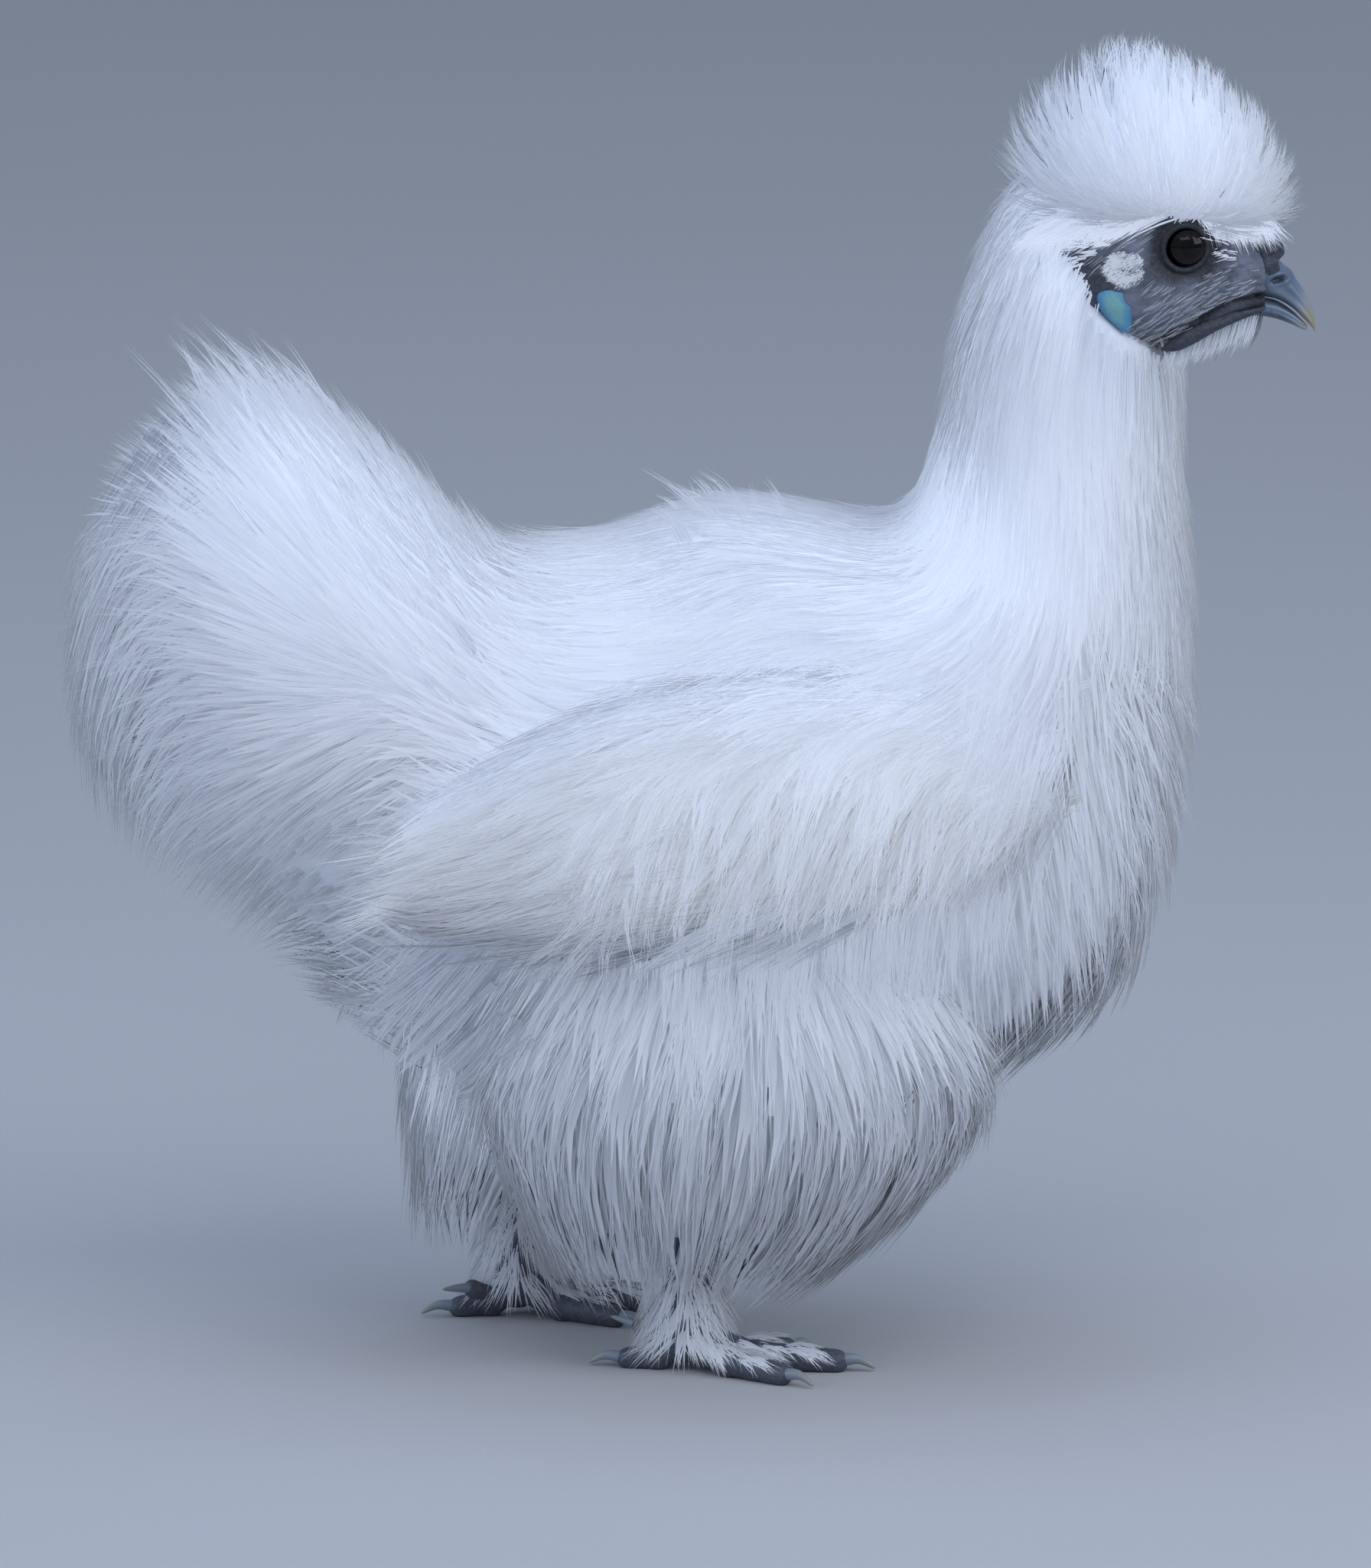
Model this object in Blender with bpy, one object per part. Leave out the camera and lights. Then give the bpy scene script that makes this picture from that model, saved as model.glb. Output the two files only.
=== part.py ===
"""A white silkie hen, life size, standing in profile, as a still museum model.

Sizes in the tables are in millimetres and become metres when a mesh is made. +X is the way she faces,
+Z is up, and her right side is at -Y. The plumage outline from nape to tail is one long form of elliptical
sections, and the crest, folded wings and fluffy thighs are forms of their own set on it. Each form has a
core part of the way inside its outline. Flat tapered locks grow from the core along the lie of the coat and
reach the outline.
"""

import math
import random

import bmesh
import bpy
import numpy as np
from mathutils import Matrix, Vector
from mathutils.bvhtree import BVHTree

MM = 0.001
GAP = 0.3  # left between nodes that touch
SHORTEST_EDGE = 0.04
FLAT_ANGLE = 0.01  # faces that differ by less are made one after a union
UP = np.array([0.0, 0.0, 1.0])
SIDES = (("left", 1), ("right", -1))

WHITE_PLUMAGE = (0.86, 0.89, 0.93)
SLATE_SKIN = (0.09, 0.11, 0.15)
TURQUOISE_LOBE = (0.10, 0.38, 0.52)
BLUE_HORN = (0.28, 0.34, 0.40)
DARK_EYE = (0.012, 0.012, 0.016)

# Plumage outline from nape to tail: top x and z, bottom x and z, half width, depth of the coat over the core
TRUNK_OUTLINE = [
    (74, 281, 121, 240, 22, 8),
    (67, 264, 121, 231, 31, 9),
    (62, 246, 119.5, 220, 35.5, 10),
    (60, 228, 121, 207, 38.5, 10),
    (58, 213, 123.5, 190, 44, 10.5),
    (54, 201, 123.5, 166, 53, 11),
    (43, 202, 121.5, 140, 61, 11.5),
    (31, 206, 117, 117, 66, 12),
    (16, 209, 109, 95, 69, 12),
    (2, 210, 93, 75, 70, 12),
    (-13, 204, 56, 57, 70, 12),
    (-25, 199, 12, 47, 68, 12),
    (-33, 197, -32, 47, 65, 12),
    (-39, 198, -66, 60, 62, 13),
    (-46, 203, -92, 88, 60, 14),
    (-56, 213, -107, 99, 60, 15),
    (-70, 229, -123, 109, 59, 17),
    (-88, 240, -137, 124, 55, 21),
    (-107, 244, -147, 146, 48, 32),
    (-128, 235, -151, 173, 36, 30),
    (-145, 214, -150, 197, 12, 10),
]
NECK_END = 5.0  # place along the trunk where the neck meets the body
TAIL_START = 13.6  # place along the trunk where the tail meets the body
TAIL_CORE_END = 18.25
TAIL_RAGGED = 4.5  # how far its lock tips pass the outline or stop short of it

# Bare head from the back of the skull to the root of the bill: x, top z, bottom z, half width
HEAD_OUTLINE = [
    (83, 279, 262, 5),
    (87, 284.5, 255, 11),
    (94, 289, 249, 14.8),
    (103, 291.5, 246.5, 16.2),
    (112, 291, 246.5, 16),
    (120, 288.5, 248.5, 14.2),
    (128, 282, 251, 11.2),
    (134, 275.5, 253, 8.6),
    (139.5, 270.5, 254.8, 6.2),
]
EYE_CENTRE = (119.7, 8.0, 272.9)
EYE_RADIUS = 6.8
LID_CENTRE = (120.0, 13.0, 272.9)
LID_RING = 5.6  # from the middle of the eye to the middle of the lid's rim
LID_THICKNESS = 1.2
LID_FLATTENING = 0.88
LID_TURN = 16  # degrees that the lids are turned to face forward, as the head narrows there
CHEEK = ((112, 11.5, 258), (10, 5.2, 7.5))
BROW = ((117.5, 9.9, 279.4), (10, 5.0, 3.4))
LOBE = ((103.4, 15.2, 260.2), (4.4, 3.0, 6.0))
WATTLE = ((121.4, 8.7, 251.4), (6.8, 2.0, 3.1))
WATTLE_TILT = 40
GAPE_LINE = [(140.5, 259.4), (134, 259.4), (129, 257.8), (125.5, 255.6)]
GAPE_WIDTHS = (0.7, 0.75, 0.7, 0.45)

# Upper and lower bill from root to tip: x, top z, bottom z, half width
UPPER_BILL = [
    (138.6, 269.8, 259.6, 5.2),
    (142.5, 268.6, 260, 4.7),
    (146.2, 264.6, 258.6, 3.7),
    (149.2, 259.2, 255.4, 2.6),
    (151.2, 253.6, 251.4, 1.4),
    (151.7, 250.4, 249.6, 0.5),
]
LOWER_BILL = [
    (138.6, 259.1, 254.8, 4.4),
    (142.3, 259.4, 254.7, 3.8),
    (145.8, 257.7, 253.9, 2.9),
    (148.2, 254.9, 252.3, 1.8),
    (149.6, 252.2, 251.1, 0.8),
]
NOSTRIL = ((141.2, 4.3, 264.6), (1.6, 1.3, 0.9))
COMB = ((139.6, 0, 270.8), (5.2, 5.0, 3.9))
COMB_KNOB = (2.4, 2.2, 2.1)
COMB_KNOBS = [(-1.0, 2.7, 2.0), (3.0, 0, 1.6)]  # ahead, aside, above the middle

# Side view of the crest round the point above the eye that its feathers spring from: x and z, from the bill
# over the top to the nape and back under
CREST_MIDDLE = (114, 289)
CREST_OUTLINE = [
    (137, 272),
    (149, 278),
    (148, 288),
    (143, 298),
    (133, 309),
    (120, 318),
    (104, 321),
    (91, 316),
    (80, 306),
    (75, 293),
    (76, 281),
    (86, 276),
    (100, 280),
    (116, 282),
]
CREST_HALF_WIDTH = 36
CREST_CORE = ((111.5, 0, 293.5), (25, 21, 12.5))
# Tufts of the crest by rows: lean from the middle plane, how many on each side, first turn and step, degrees
CREST_TUFTS = [
    (7, 6, -106, 38),
    (32, 6, -98, 38),
    (55, 5, -92, 45),
    (75, 3, -68, 66),
    (88, 1, 0, 0),
]
TUFT_SIZE = (12, 3.2)  # width and thickness

# Folded wing from shoulder to tip: x, z, half height, outer y, half thickness
WING_OUTLINE = [
    (84, 146, 8, 60, 7),
    (76, 147, 20, 65, 12),
    (60, 147, 30, 71, 15),
    (34, 146, 34, 77, 17),
    (4, 144, 34, 79.5, 18),
    (-26, 140, 30, 79, 17),
    (-50, 134, 23, 74, 14),
    (-68, 129, 15, 68, 10),
    (-82, 126, 7, 63, 6),
]
WING_DEPTH = 7
WING_LEAN = 0.16  # how far the wing's top leans in towards the back

# Thigh fluff from inside the body down to the hock: z, half length, middle y, half width, share of the way
# from the hip's x to the foot's x
THIGH_OUTLINE = [
    (104, 50, 30, 26, 0.0),
    (86, 62, 33, 32, 0.02),
    (66, 66, 35, 35, 0.06),
    (46, 54, 35, 34, 0.3),
    (30, 40, 34, 28, 0.62),
    (19, 29, 32, 21, 0.94),
    (13, 19, 31, 13, 1.0),
]
THIGH_DEPTH = 11
THIGH_CORE_END = 4.0
HIP_X = {"left": -4, "right": 12}
FOOT_X = {"left": -41, "right": 0}
FOOT_Y = 30
ANKLE_Z = 11.5
SHANK_RADII = (5.0, 6.2)
ANKLE_RADII = (6.0, 5.6, 6.4)
# Toe: turn outwards from straight ahead, length, root radius, tip radius, height of the tip's middle
TOES = [
    (4, 37, 4.3, 2.9, 2.5),
    (36, 29, 3.9, 2.7, 2.3),
    (-30, 28, 3.9, 2.7, 2.3),
    (-172, 15, 3.6, 2.6, 2.2),
    (-140, 15, 3.0, 2.2, 8.5),
]
CLAW_LENGTH = 8.5
SHANK_LOCKS = 8

LOCK_STOPS = (0.0, 0.38, 0.72, 1.0)
LOCK_WIDTHS = (0.74, 1.0, 0.72)
LOCK_SINK = 2.6  # how deep a lock's root lies in the core
LOCK_RISE = 1.15  # above 1, a lock leaves the core steeply and then lies over
# Shares of a lock's full length and how much further out its tip is lifted, tried in turn until one is clear
LOCK_TRIES = ((1, 0), (0.92, 2), (0.8, 3), (0.66, 1.5), (0.55, 4))

rng = random.Random(1874)


class Form:
    """A rounded form through elliptical sections. A row is centre, half height, half width and coat depth.

    reach gives how far a section's edge lies along each turn, for sections that aren't ellipses.
    """

    def __init__(self, centres, heights, widths, depths, reach=lambda turn: 1.0):
        depths = np.array(depths, float).reshape(-1, 1)
        self.rows = np.hstack([np.array(centres), np.array(heights), np.array(widths), depths])
        self.last = len(self.rows) - 1
        self.reach = reach

    def row(self, place):
        """The row at a place between the table's rows, on a smooth curve through them."""
        place = min(max(place, 0.0), float(self.last))
        i = min(int(place), self.last - 1)
        t = place - i
        before, here = self.rows[max(i - 1, 0)], self.rows[i]
        ahead, after = self.rows[i + 1], self.rows[min(i + 2, self.last)]
        straight = (ahead - before) * t + 2 * here
        bend = (2 * before - 5 * here + 4 * ahead - after) * t * t
        twist = (3 * here - before - 3 * ahead + after) * t * t * t
        return 0.5 * (straight + bend + twist)

    def depth(self, place):
        return float(self.row(place)[9])

    def point(self, place, turn, depth=0.0):
        """A point at that depth under the outline, turned from the top towards +Y."""
        row = self.row(place)
        edge = (row[3:6] * math.cos(turn) + row[6:9] * math.sin(turn)) * self.reach(turn)
        return row[0:3] + edge * max(0.05, 1 - depth / np.linalg.norm(edge))

    def outward(self, place, turn, depth):
        """Unit vector square to the surface at that depth."""
        along = self.point(place + 0.1, turn, depth) - self.point(place - 0.1, turn, depth)
        across = self.point(place, turn + 0.05, depth) - self.point(place, turn - 0.05, depth)
        normal = np.cross(across, along)
        if normal @ (self.point(place, turn, depth) - self.row(place)[0:3]) < 0:
            normal = -normal
        return normal / max(np.linalg.norm(normal), 1e-9)

    def forward(self, place):
        """Unit vector square to the section, pointing along the form."""
        row = self.row(place)
        square = np.cross(row[3:6], row[6:9])
        onward = self.row(place + 0.2)[0:3] - self.row(place - 0.2)[0:3]
        return square * np.sign(square @ onward) / np.linalg.norm(square)

    def solid(self, start, end, rings, sides, inset=True, trims=(0.0, 0.0)):
        """Points and faces of the form, or of its core, each end moved in by its trim."""
        points, faces = [], []
        for k, place in enumerate(np.linspace(start, end, rings)):
            trim = trims[0] if k == 0 else -trims[1] if k == rings - 1 else 0.0
            depth = self.depth(place) if inset else 0.0
            for j in range(sides):
                turn = 2 * math.pi * j / sides
                points.append(self.point(place, turn, depth) + self.forward(place) * trim)
        for k in range(rings - 1):
            for j in range(sides):
                a, b = k * sides + j, k * sides + (j + 1) % sides
                faces.append((a, b, b + sides, a + sides))
        faces.append(tuple(range(sides)))
        faces.append(tuple(range((rings - 1) * sides, rings * sides)))
        return points, faces


def trunk_form():
    rows = np.array(TRUNK_OUTLINE, float)
    level = np.zeros(len(rows))
    top = np.stack([rows[:, 0], level, rows[:, 1]], axis=1)
    bottom = np.stack([rows[:, 2], level, rows[:, 3]], axis=1)
    widths = np.stack([level, rows[:, 4], level], axis=1)
    return Form((top + bottom) / 2, (top - bottom) / 2, widths, rows[:, 5])


def crest_reach(turn, lean):
    """How far the crest's outline is from its middle along a ray turned forward and then leant aside."""
    outline = np.array(CREST_OUTLINE, float) - np.array(CREST_MIDDLE)
    turns = np.arctan2(outline[:, 0], outline[:, 1]) % (2 * math.pi)
    order = np.argsort(turns)
    reach = np.interp(turn, turns[order], np.linalg.norm(outline, axis=1)[order], period=2 * math.pi)
    return 1 / math.hypot(math.cos(lean) / reach, math.sin(lean) / CREST_HALF_WIDTH)


def upright_form(outline, depth=0.0):
    """A form whose sections stand upright one behind the other, for the head and bill."""
    rows = np.array(outline, float)
    level = np.zeros(len(rows))
    centres = np.stack([rows[:, 0], level, (rows[:, 1] + rows[:, 2]) / 2], axis=1)
    heights = np.stack([level, level, (rows[:, 1] - rows[:, 2]) / 2], axis=1)
    widths = np.stack([level, rows[:, 3], level], axis=1)
    return Form(centres, heights, widths, [depth] * len(rows))


def wing_form(side):
    rows = np.array(WING_OUTLINE, float)
    level = np.zeros(len(rows))
    centres = np.stack([rows[:, 0], side * (rows[:, 3] - rows[:, 4]), rows[:, 1]], axis=1)
    heights = np.stack([level, -side * WING_LEAN * rows[:, 2], rows[:, 2]], axis=1)
    widths = np.stack([level, rows[:, 4], level], axis=1)
    return Form(centres, heights, widths, [WING_DEPTH] * len(rows))


def thigh_form(name, side):
    rows = np.array(THIGH_OUTLINE, float)
    level = np.zeros(len(rows))
    middles = HIP_X[name] + (FOOT_X[name] - HIP_X[name]) * rows[:, 4]
    centres = np.stack([middles, side * rows[:, 2], rows[:, 0]], axis=1)
    lengths = np.stack([rows[:, 1], level, level], axis=1)
    widths = np.stack([level, rows[:, 3], level], axis=1)
    return Form(centres, lengths, widths, [THIGH_DEPTH] * len(rows))


def mesh_of(points, faces):
    """A mesh of triangles in metres from points in millimetres, with every face pointing out."""
    mesh = bpy.data.meshes.new("shape")
    mesh.from_pydata([tuple(p * MM for p in point) for point in points], [], faces)
    tidy_faces(mesh)
    return mesh


def tidy_faces(mesh):
    shape = bmesh.new()
    shape.from_mesh(mesh)
    bmesh.ops.recalc_face_normals(shape, faces=shape.faces)
    bmesh.ops.triangulate(shape, faces=shape.faces)
    shape.to_mesh(mesh)
    shape.free()


def add_object(name, mesh, collection):
    made = bpy.data.objects.new(name, mesh)
    bpy.data.collections[collection].objects.link(made)
    return made


def loft(name, shape):
    return add_object(name, mesh_of(*shape), "silkie_hen")


def ball(name, centre, radii, rings=8, sides=12, tilt=0.0, collection="working_shapes"):
    """An ellipsoid with upright poles, tilted nose up about the Y axis."""
    shape = bmesh.new()
    bmesh.ops.create_uvsphere(shape, u_segments=sides, v_segments=rings, radius=1.0)
    scale = Matrix.Diagonal((*[r * MM for r in radii], 1.0))
    turn = Matrix.Rotation(math.radians(-tilt), 4, "Y")
    place = Matrix.Translation(Vector(centre) * MM)
    bmesh.ops.transform(shape, matrix=place @ turn @ scale, verts=shape.verts)
    mesh = bpy.data.meshes.new(name)
    shape.to_mesh(mesh)
    shape.free()
    tidy_faces(mesh)
    return add_object(name, mesh, collection)


def rim(name, centre, radius, thickness, flattening, turn):
    """A flattened ring that faces sideways and a little forward, for an eyelid."""
    bpy.ops.mesh.primitive_torus_add(
        major_segments=14,
        minor_segments=5,
        major_radius=radius * MM,
        minor_radius=thickness * MM,
        rotation=(math.pi / 2, 0, 0),
    )
    made = bpy.context.object
    made.name = name
    flatten = Matrix.Diagonal((1, 1, flattening, 1))
    place = Matrix.Translation(Vector(centre) * MM) @ Matrix.Rotation(turn, 4, "Z") @ flatten
    made.data.transform(place @ made.matrix_world)
    made.matrix_world = Matrix.Identity(4)
    tidy_faces(made.data)
    return made


def rod(name, path, radii, resolution=2, collection="working_shapes"):
    """A tapered round rod along a path, closed at both ends."""
    curve = bpy.data.curves.new(name, "CURVE")
    curve.dimensions = "3D"
    curve.bevel_depth = MM
    curve.bevel_resolution = resolution
    curve.use_fill_caps = True
    line = curve.splines.new("POLY")
    line.points.add(len(path) - 1)
    for spot, at, radius in zip(line.points, path, radii):
        spot.co = (*[x * MM for x in at], 1.0)
        spot.radius = radius
    drawn = add_object(name, curve, collection)
    bpy.context.view_layer.update()
    graph = bpy.context.evaluated_depsgraph_get()
    mesh = bpy.data.meshes.new_from_object(drawn.evaluated_get(graph))
    bpy.data.objects.remove(drawn)
    shape = bmesh.new()
    shape.from_mesh(mesh)
    bmesh.ops.remove_doubles(shape, verts=shape.verts, dist=1e-6)
    shape.to_mesh(mesh)
    shape.free()
    tidy_faces(mesh)
    return add_object(name, mesh, collection)


def half_space(through, away, size=500.0):
    """A large box with one face through a point, on the side that away points to."""
    shape = bmesh.new()
    bmesh.ops.create_cube(shape, size=size * MM)
    away = Vector(away).normalized()
    turn = Vector((0, 0, 1)).rotation_difference(away).to_matrix().to_4x4()
    place = Matrix.Translation((Vector(through) + away * (size / 2)) * MM)
    bmesh.ops.transform(shape, matrix=place @ turn, verts=shape.verts)
    mesh = bpy.data.meshes.new("half_space")
    shape.to_mesh(mesh)
    shape.free()
    return add_object("half_space", mesh, "working_shapes")


def grown(made, amount=GAP):
    """The same shape with its surface moved out, to leave a gap. It may fold over itself at a crease."""
    shape = bmesh.new()
    shape.from_mesh(made.data)
    shape.normal_update()
    moves = [(vert, vert.normal * vert.calc_shell_factor()) for vert in shape.verts]
    for vert, move in moves:
        vert.co += move * amount * MM
    mesh = bpy.data.meshes.new("grown")
    shape.to_mesh(mesh)
    shape.free()
    return add_object("grown", mesh, "working_shapes")


def apply_boolean(base, others, operation, solver):
    """Joins the other objects to base or cuts them from it, and removes them."""
    group = bpy.data.collections.new("group")
    bpy.context.scene.collection.children.link(group)
    for other in others:
        for holder in other.users_collection:
            holder.objects.unlink(other)
        group.objects.link(other)
    step = base.modifiers.new("step", "BOOLEAN")
    step.operation = operation
    step.operand_type = "COLLECTION"
    step.collection = group
    step.solver = solver
    bpy.context.view_layer.update()
    graph = bpy.context.evaluated_depsgraph_get()
    base.data, old = bpy.data.meshes.new_from_object(base.evaluated_get(graph)), base.data
    base.modifiers.clear()
    bpy.data.meshes.remove(old)
    for other in others:
        bpy.data.objects.remove(other)
    bpy.data.collections.remove(group)
    return base


def join(base, others, solver="EXACT"):
    return apply_boolean(base, others, "UNION", solver) if others else base


def cut(base, cutters, solver="EXACT"):
    for cutter in cutters:
        apply_boolean(base, [cutter], "DIFFERENCE", solver)
    return keep_largest(base)


def set_against(base, others):
    """Cuts a node back to leave a gap to others. The exact solver can read their grown shapes as empty."""
    return cut(base, [grown(other) for other in others], "MANIFOLD")


def keep_largest(made):
    """Leaves only the closed surface with the largest box, as plain triangles without tiny edges."""
    shape = bmesh.new()
    shape.from_mesh(made.data)
    unseen, islands = set(shape.verts), []
    while unseen:
        stack, island = [unseen.pop()], []
        while stack:
            vert = stack.pop()
            island.append(vert)
            fresh = {edge.other_vert(vert) for edge in vert.link_edges} & unseen
            unseen -= fresh
            stack.extend(fresh)
        islands.append(island)
    islands.sort(key=lambda island: np.ptp([v.co for v in island], axis=0).sum())
    for island in islands[:-1]:
        bmesh.ops.delete(shape, geom=island, context="VERTS")
    bmesh.ops.triangulate(shape, faces=shape.faces)
    shape = simplified(shape)
    shape.to_mesh(made.data)
    shape.free()
    return made


def simplified(shape):
    """Merges flat neighbours and drops tiny edges, as far as the surface stays closed."""
    for angle in (FLAT_ANGLE, FLAT_ANGLE / 10):
        trial = shape.copy()
        bmesh.ops.dissolve_limit(trial, angle_limit=angle, verts=trial.verts, edges=trial.edges)
        shape, done = better_of(shape, trial)
        if done:
            break
    for length in (SHORTEST_EDGE, SHORTEST_EDGE / 2, SHORTEST_EDGE / 4):
        trial = shape.copy()
        bmesh.ops.dissolve_degenerate(trial, dist=length * MM, edges=trial.edges)
        shape, done = better_of(shape, trial)
        if done:
            break
    return shape


def better_of(shape, trial):
    """The trial in triangles if it is closed, or else the shape as it was, and whether it is the trial."""
    bmesh.ops.triangulate(trial, faces=trial.faces)
    closed = all(len(edge.link_faces) == 2 for edge in trial.edges)
    kept, dropped = (trial, shape) if closed else (shape, trial)
    dropped.free()
    return kept, closed


def paint(made, colour, roughness):
    finish = bpy.data.materials.new(made.name + "_finish")
    finish.use_nodes = True
    shader = finish.node_tree.nodes["Principled BSDF"]
    shader.inputs["Base Color"].default_value = (*colour, 1.0)
    shader.inputs["Roughness"].default_value = roughness
    made.data.materials.clear()
    made.data.materials.append(finish)


def mirrored(place, side):
    return (place[0], place[1] * side, place[2])


def make_head(trunk):
    """Skull and bare face with lids, eye sockets and the line of the mouth, cut off at the neck."""
    form = upright_form(HEAD_OUTLINE)
    head = loft("head", form.solid(0, form.last, 11, 16))
    for _, side in SIDES:
        lid_turn = -side * math.radians(LID_TURN)
        lid = rim("lid", mirrored(LID_CENTRE, side), LID_RING, LID_THICKNESS, LID_FLATTENING, lid_turn)
        pieces = [lid]
        for centre, radii in (CHEEK, BROW):
            pieces.append(ball("swelling", mirrored(centre, side), radii, 8, 10))
        join(head, pieces)
        socket = ball("socket", mirrored(EYE_CENTRE, side), [EYE_RADIUS + GAP] * 3, 7, 10)
        path = [(x, side * side_width(form, x, z), z) for x, z in GAPE_LINE]
        cut(head, [socket, rod("groove", path, GAPE_WIDTHS, 1)])
    nape = trunk.row(0)[0:3] - trunk.forward(0) * GAP
    return cut(head, [half_space(nape, trunk.forward(0))])


def side_width(form, x, z):
    """Half width of an upright form at a height z, where its section stands at x."""
    low, high = 0.0, float(form.last)
    for _ in range(30):
        middle = (low + high) / 2
        low, high = (middle, high) if form.row(middle)[0] < x else (low, middle)
    row = form.row(low)
    share = max(0.0, 1 - ((z - row[2]) / row[5]) ** 2)
    return row[7] * math.sqrt(share)


def make_face(head, neck):
    """Bill in two halves, comb, eyes, earlobes and wattles, each set against the head."""
    upper_form, lower_form = upright_form(UPPER_BILL), upright_form(LOWER_BILL)
    upper = loft("bill_upper", upper_form.solid(0, upper_form.last, 7, 10))
    lower = loft("bill_lower", lower_form.solid(0, lower_form.last, 5, 8))
    holes = [ball("hole", mirrored(NOSTRIL[0], side), NOSTRIL[1], 4, 6) for _, side in SIDES]
    comb = ball("comb", *COMB, 6, 8, collection="silkie_hen")
    knobs = []
    for ahead, aside, rise in COMB_KNOBS:
        for side in (-1, 1) if aside else (1,):
            at = (COMB[0][0] + ahead, side * aside, COMB[0][2] + rise)
            knobs.append(ball("knob", at, COMB_KNOB, 4, 6))
    join(comb, knobs)
    set_against(comb, [head])
    set_against(upper, [head, comb])
    cut(upper, holes)
    set_against(lower, [head, upper])
    face = [upper, lower, comb]
    for name, side in SIDES:
        eye_at, lobe_at, wattle_at = (mirrored(at, side) for at in (EYE_CENTRE, LOBE[0], WATTLE[0]))
        eye = ball(f"eye_{name}", eye_at, [EYE_RADIUS] * 3, 6, 10, 0, "silkie_hen")
        lobe = ball(f"lobe_{name}", lobe_at, LOBE[1], 6, 8, 0, "silkie_hen")
        wattle = ball(f"wattle_{name}", wattle_at, WATTLE[1], 6, 8, WATTLE_TILT, "silkie_hen")
        for piece in (lobe, wattle):
            set_against(piece, [head, neck])
        face += [eye, lobe, wattle]
    return face


def make_leg(name, side):
    """Shank, foot with five toes whose soles are flat at the floor, and a claw on each toe."""
    x, y = FOOT_X[name], side * FOOT_Y
    hock = THIGH_OUTLINE[4][0] - GAP
    shank = rod(f"shank_{name}", [(x, y, ANKLE_Z + GAP / 2), (x, y, hock)], SHANK_RADII, 3, "silkie_hen")
    foot = ball(f"foot_{name}", (x, y, ANKLE_Z - 3.5), ANKLE_RADII, 6, 10, 0, "silkie_hen")
    toes, made = [], [shank, foot]
    for number, (turn, length, root, tip, height) in enumerate(TOES, 1):
        away = math.radians(turn)
        ahead = np.array([math.cos(away), side * math.sin(away), 0.0])
        ankle = np.array([x, y, ANKLE_Z - 3.8])
        knuckle = np.array([x, y, (root + max(height, root)) / 2 - 0.4]) + ahead * length * 0.45
        end = np.array([x, y, height]) + ahead * length
        toes.append(rod("toe", [ankle, knuckle, end], (root, (root + tip) / 2 + 0.3, tip), 1))
        slope = (end - knuckle) / np.linalg.norm(end - knuckle)
        claw_root = end + slope * GAP
        claw_bend = claw_root + slope * CLAW_LENGTH * 0.5 + UP * 0.5
        claw_tip = claw_root + ahead * CLAW_LENGTH + UP
        if height < root:
            claw_tip[2] = 1.0
        claw_radii = (tip * 0.72, tip * 0.5, 0.3)
        path = [claw_root, claw_bend, claw_tip]
        made.append(rod(f"claw_{name}_{number}", path, claw_radii, 0, "silkie_hen"))
    join(foot, toes)
    cut(foot, [half_space((x, y, 0), (0, 0, -1)), half_space((x, y, ANKLE_Z - GAP / 2), (0, 0, 1))])
    return made


def make_bodies(trunk, forms, head, neck, face):
    """Cores of the nodes that carry the long coat, cut back from one another."""
    torso = loft("torso", trunk.solid(NECK_END, TAIL_START, 12, 16, trims=(GAP / 2, GAP / 2)))
    tail = loft("tail", trunk.solid(TAIL_START, TAIL_CORE_END, 7, 16, trims=(GAP / 2, 0)))
    crest = ball("crest", *CREST_CORE, 8, 14, 0, "silkie_hen")
    set_against(crest, [head, neck] + face)
    made = [torso, tail, crest]
    for name, side in SIDES:
        wing = loft(f"wing_{name}", forms[f"wing_{name}"].solid(0.6, 7.2, 9, 12))
        set_against(wing, [torso, neck, tail])
        thigh = loft(f"thigh_{name}", forms[f"thigh_{name}"].solid(0, THIGH_CORE_END, 6, 16))
        set_against(thigh, [torso, tail, wing])
        made += [wing, thigh]
    return made


class Clearance:
    """Search trees of all that has been made, for keeping each lock clear of every other node."""

    def __init__(self, nodes):
        self.cores = {}
        self.entries = []
        for node in nodes:
            points = [np.array(vert.co) / MM for vert in node.data.vertices]
            faces = [tuple(face.vertices) for face in node.data.polygons]
            self.cores[node.name] = self.add(node.name, points, faces)

    def add(self, name, points, faces):
        tree = BVHTree.FromPolygons([tuple(p) for p in points], faces)
        self.entries.append((name, tree, np.min(points, axis=0), np.max(points, axis=0)))
        return tree

    def inside_other(self, name, point):
        """True if a point lies in the core of another node."""
        for other, tree in self.cores.items():
            if other == name:
                continue
            hits, start = 0, Vector(point)
            while hits < 20:
                found = tree.ray_cast(start, Vector((0.31, 0.87, 0.38)))
                if found[0] is None:
                    break
                hits += 1
                start = found[0] + Vector((0.31, 0.87, 0.38)) * 1e-3
            if hits % 2:
                return True
        return False

    def free(self, name, points, faces):
        """True if a shape crosses nothing but its own node."""
        tree = BVHTree.FromPolygons([tuple(p) for p in points], faces)
        low, high = np.min(points, axis=0), np.max(points, axis=0)
        for other, entry, other_low, other_high in self.entries:
            if other == name or (low > other_high).any() or (high < other_low).any():
                continue
            if tree.overlap(entry):
                return False
        return True


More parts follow.
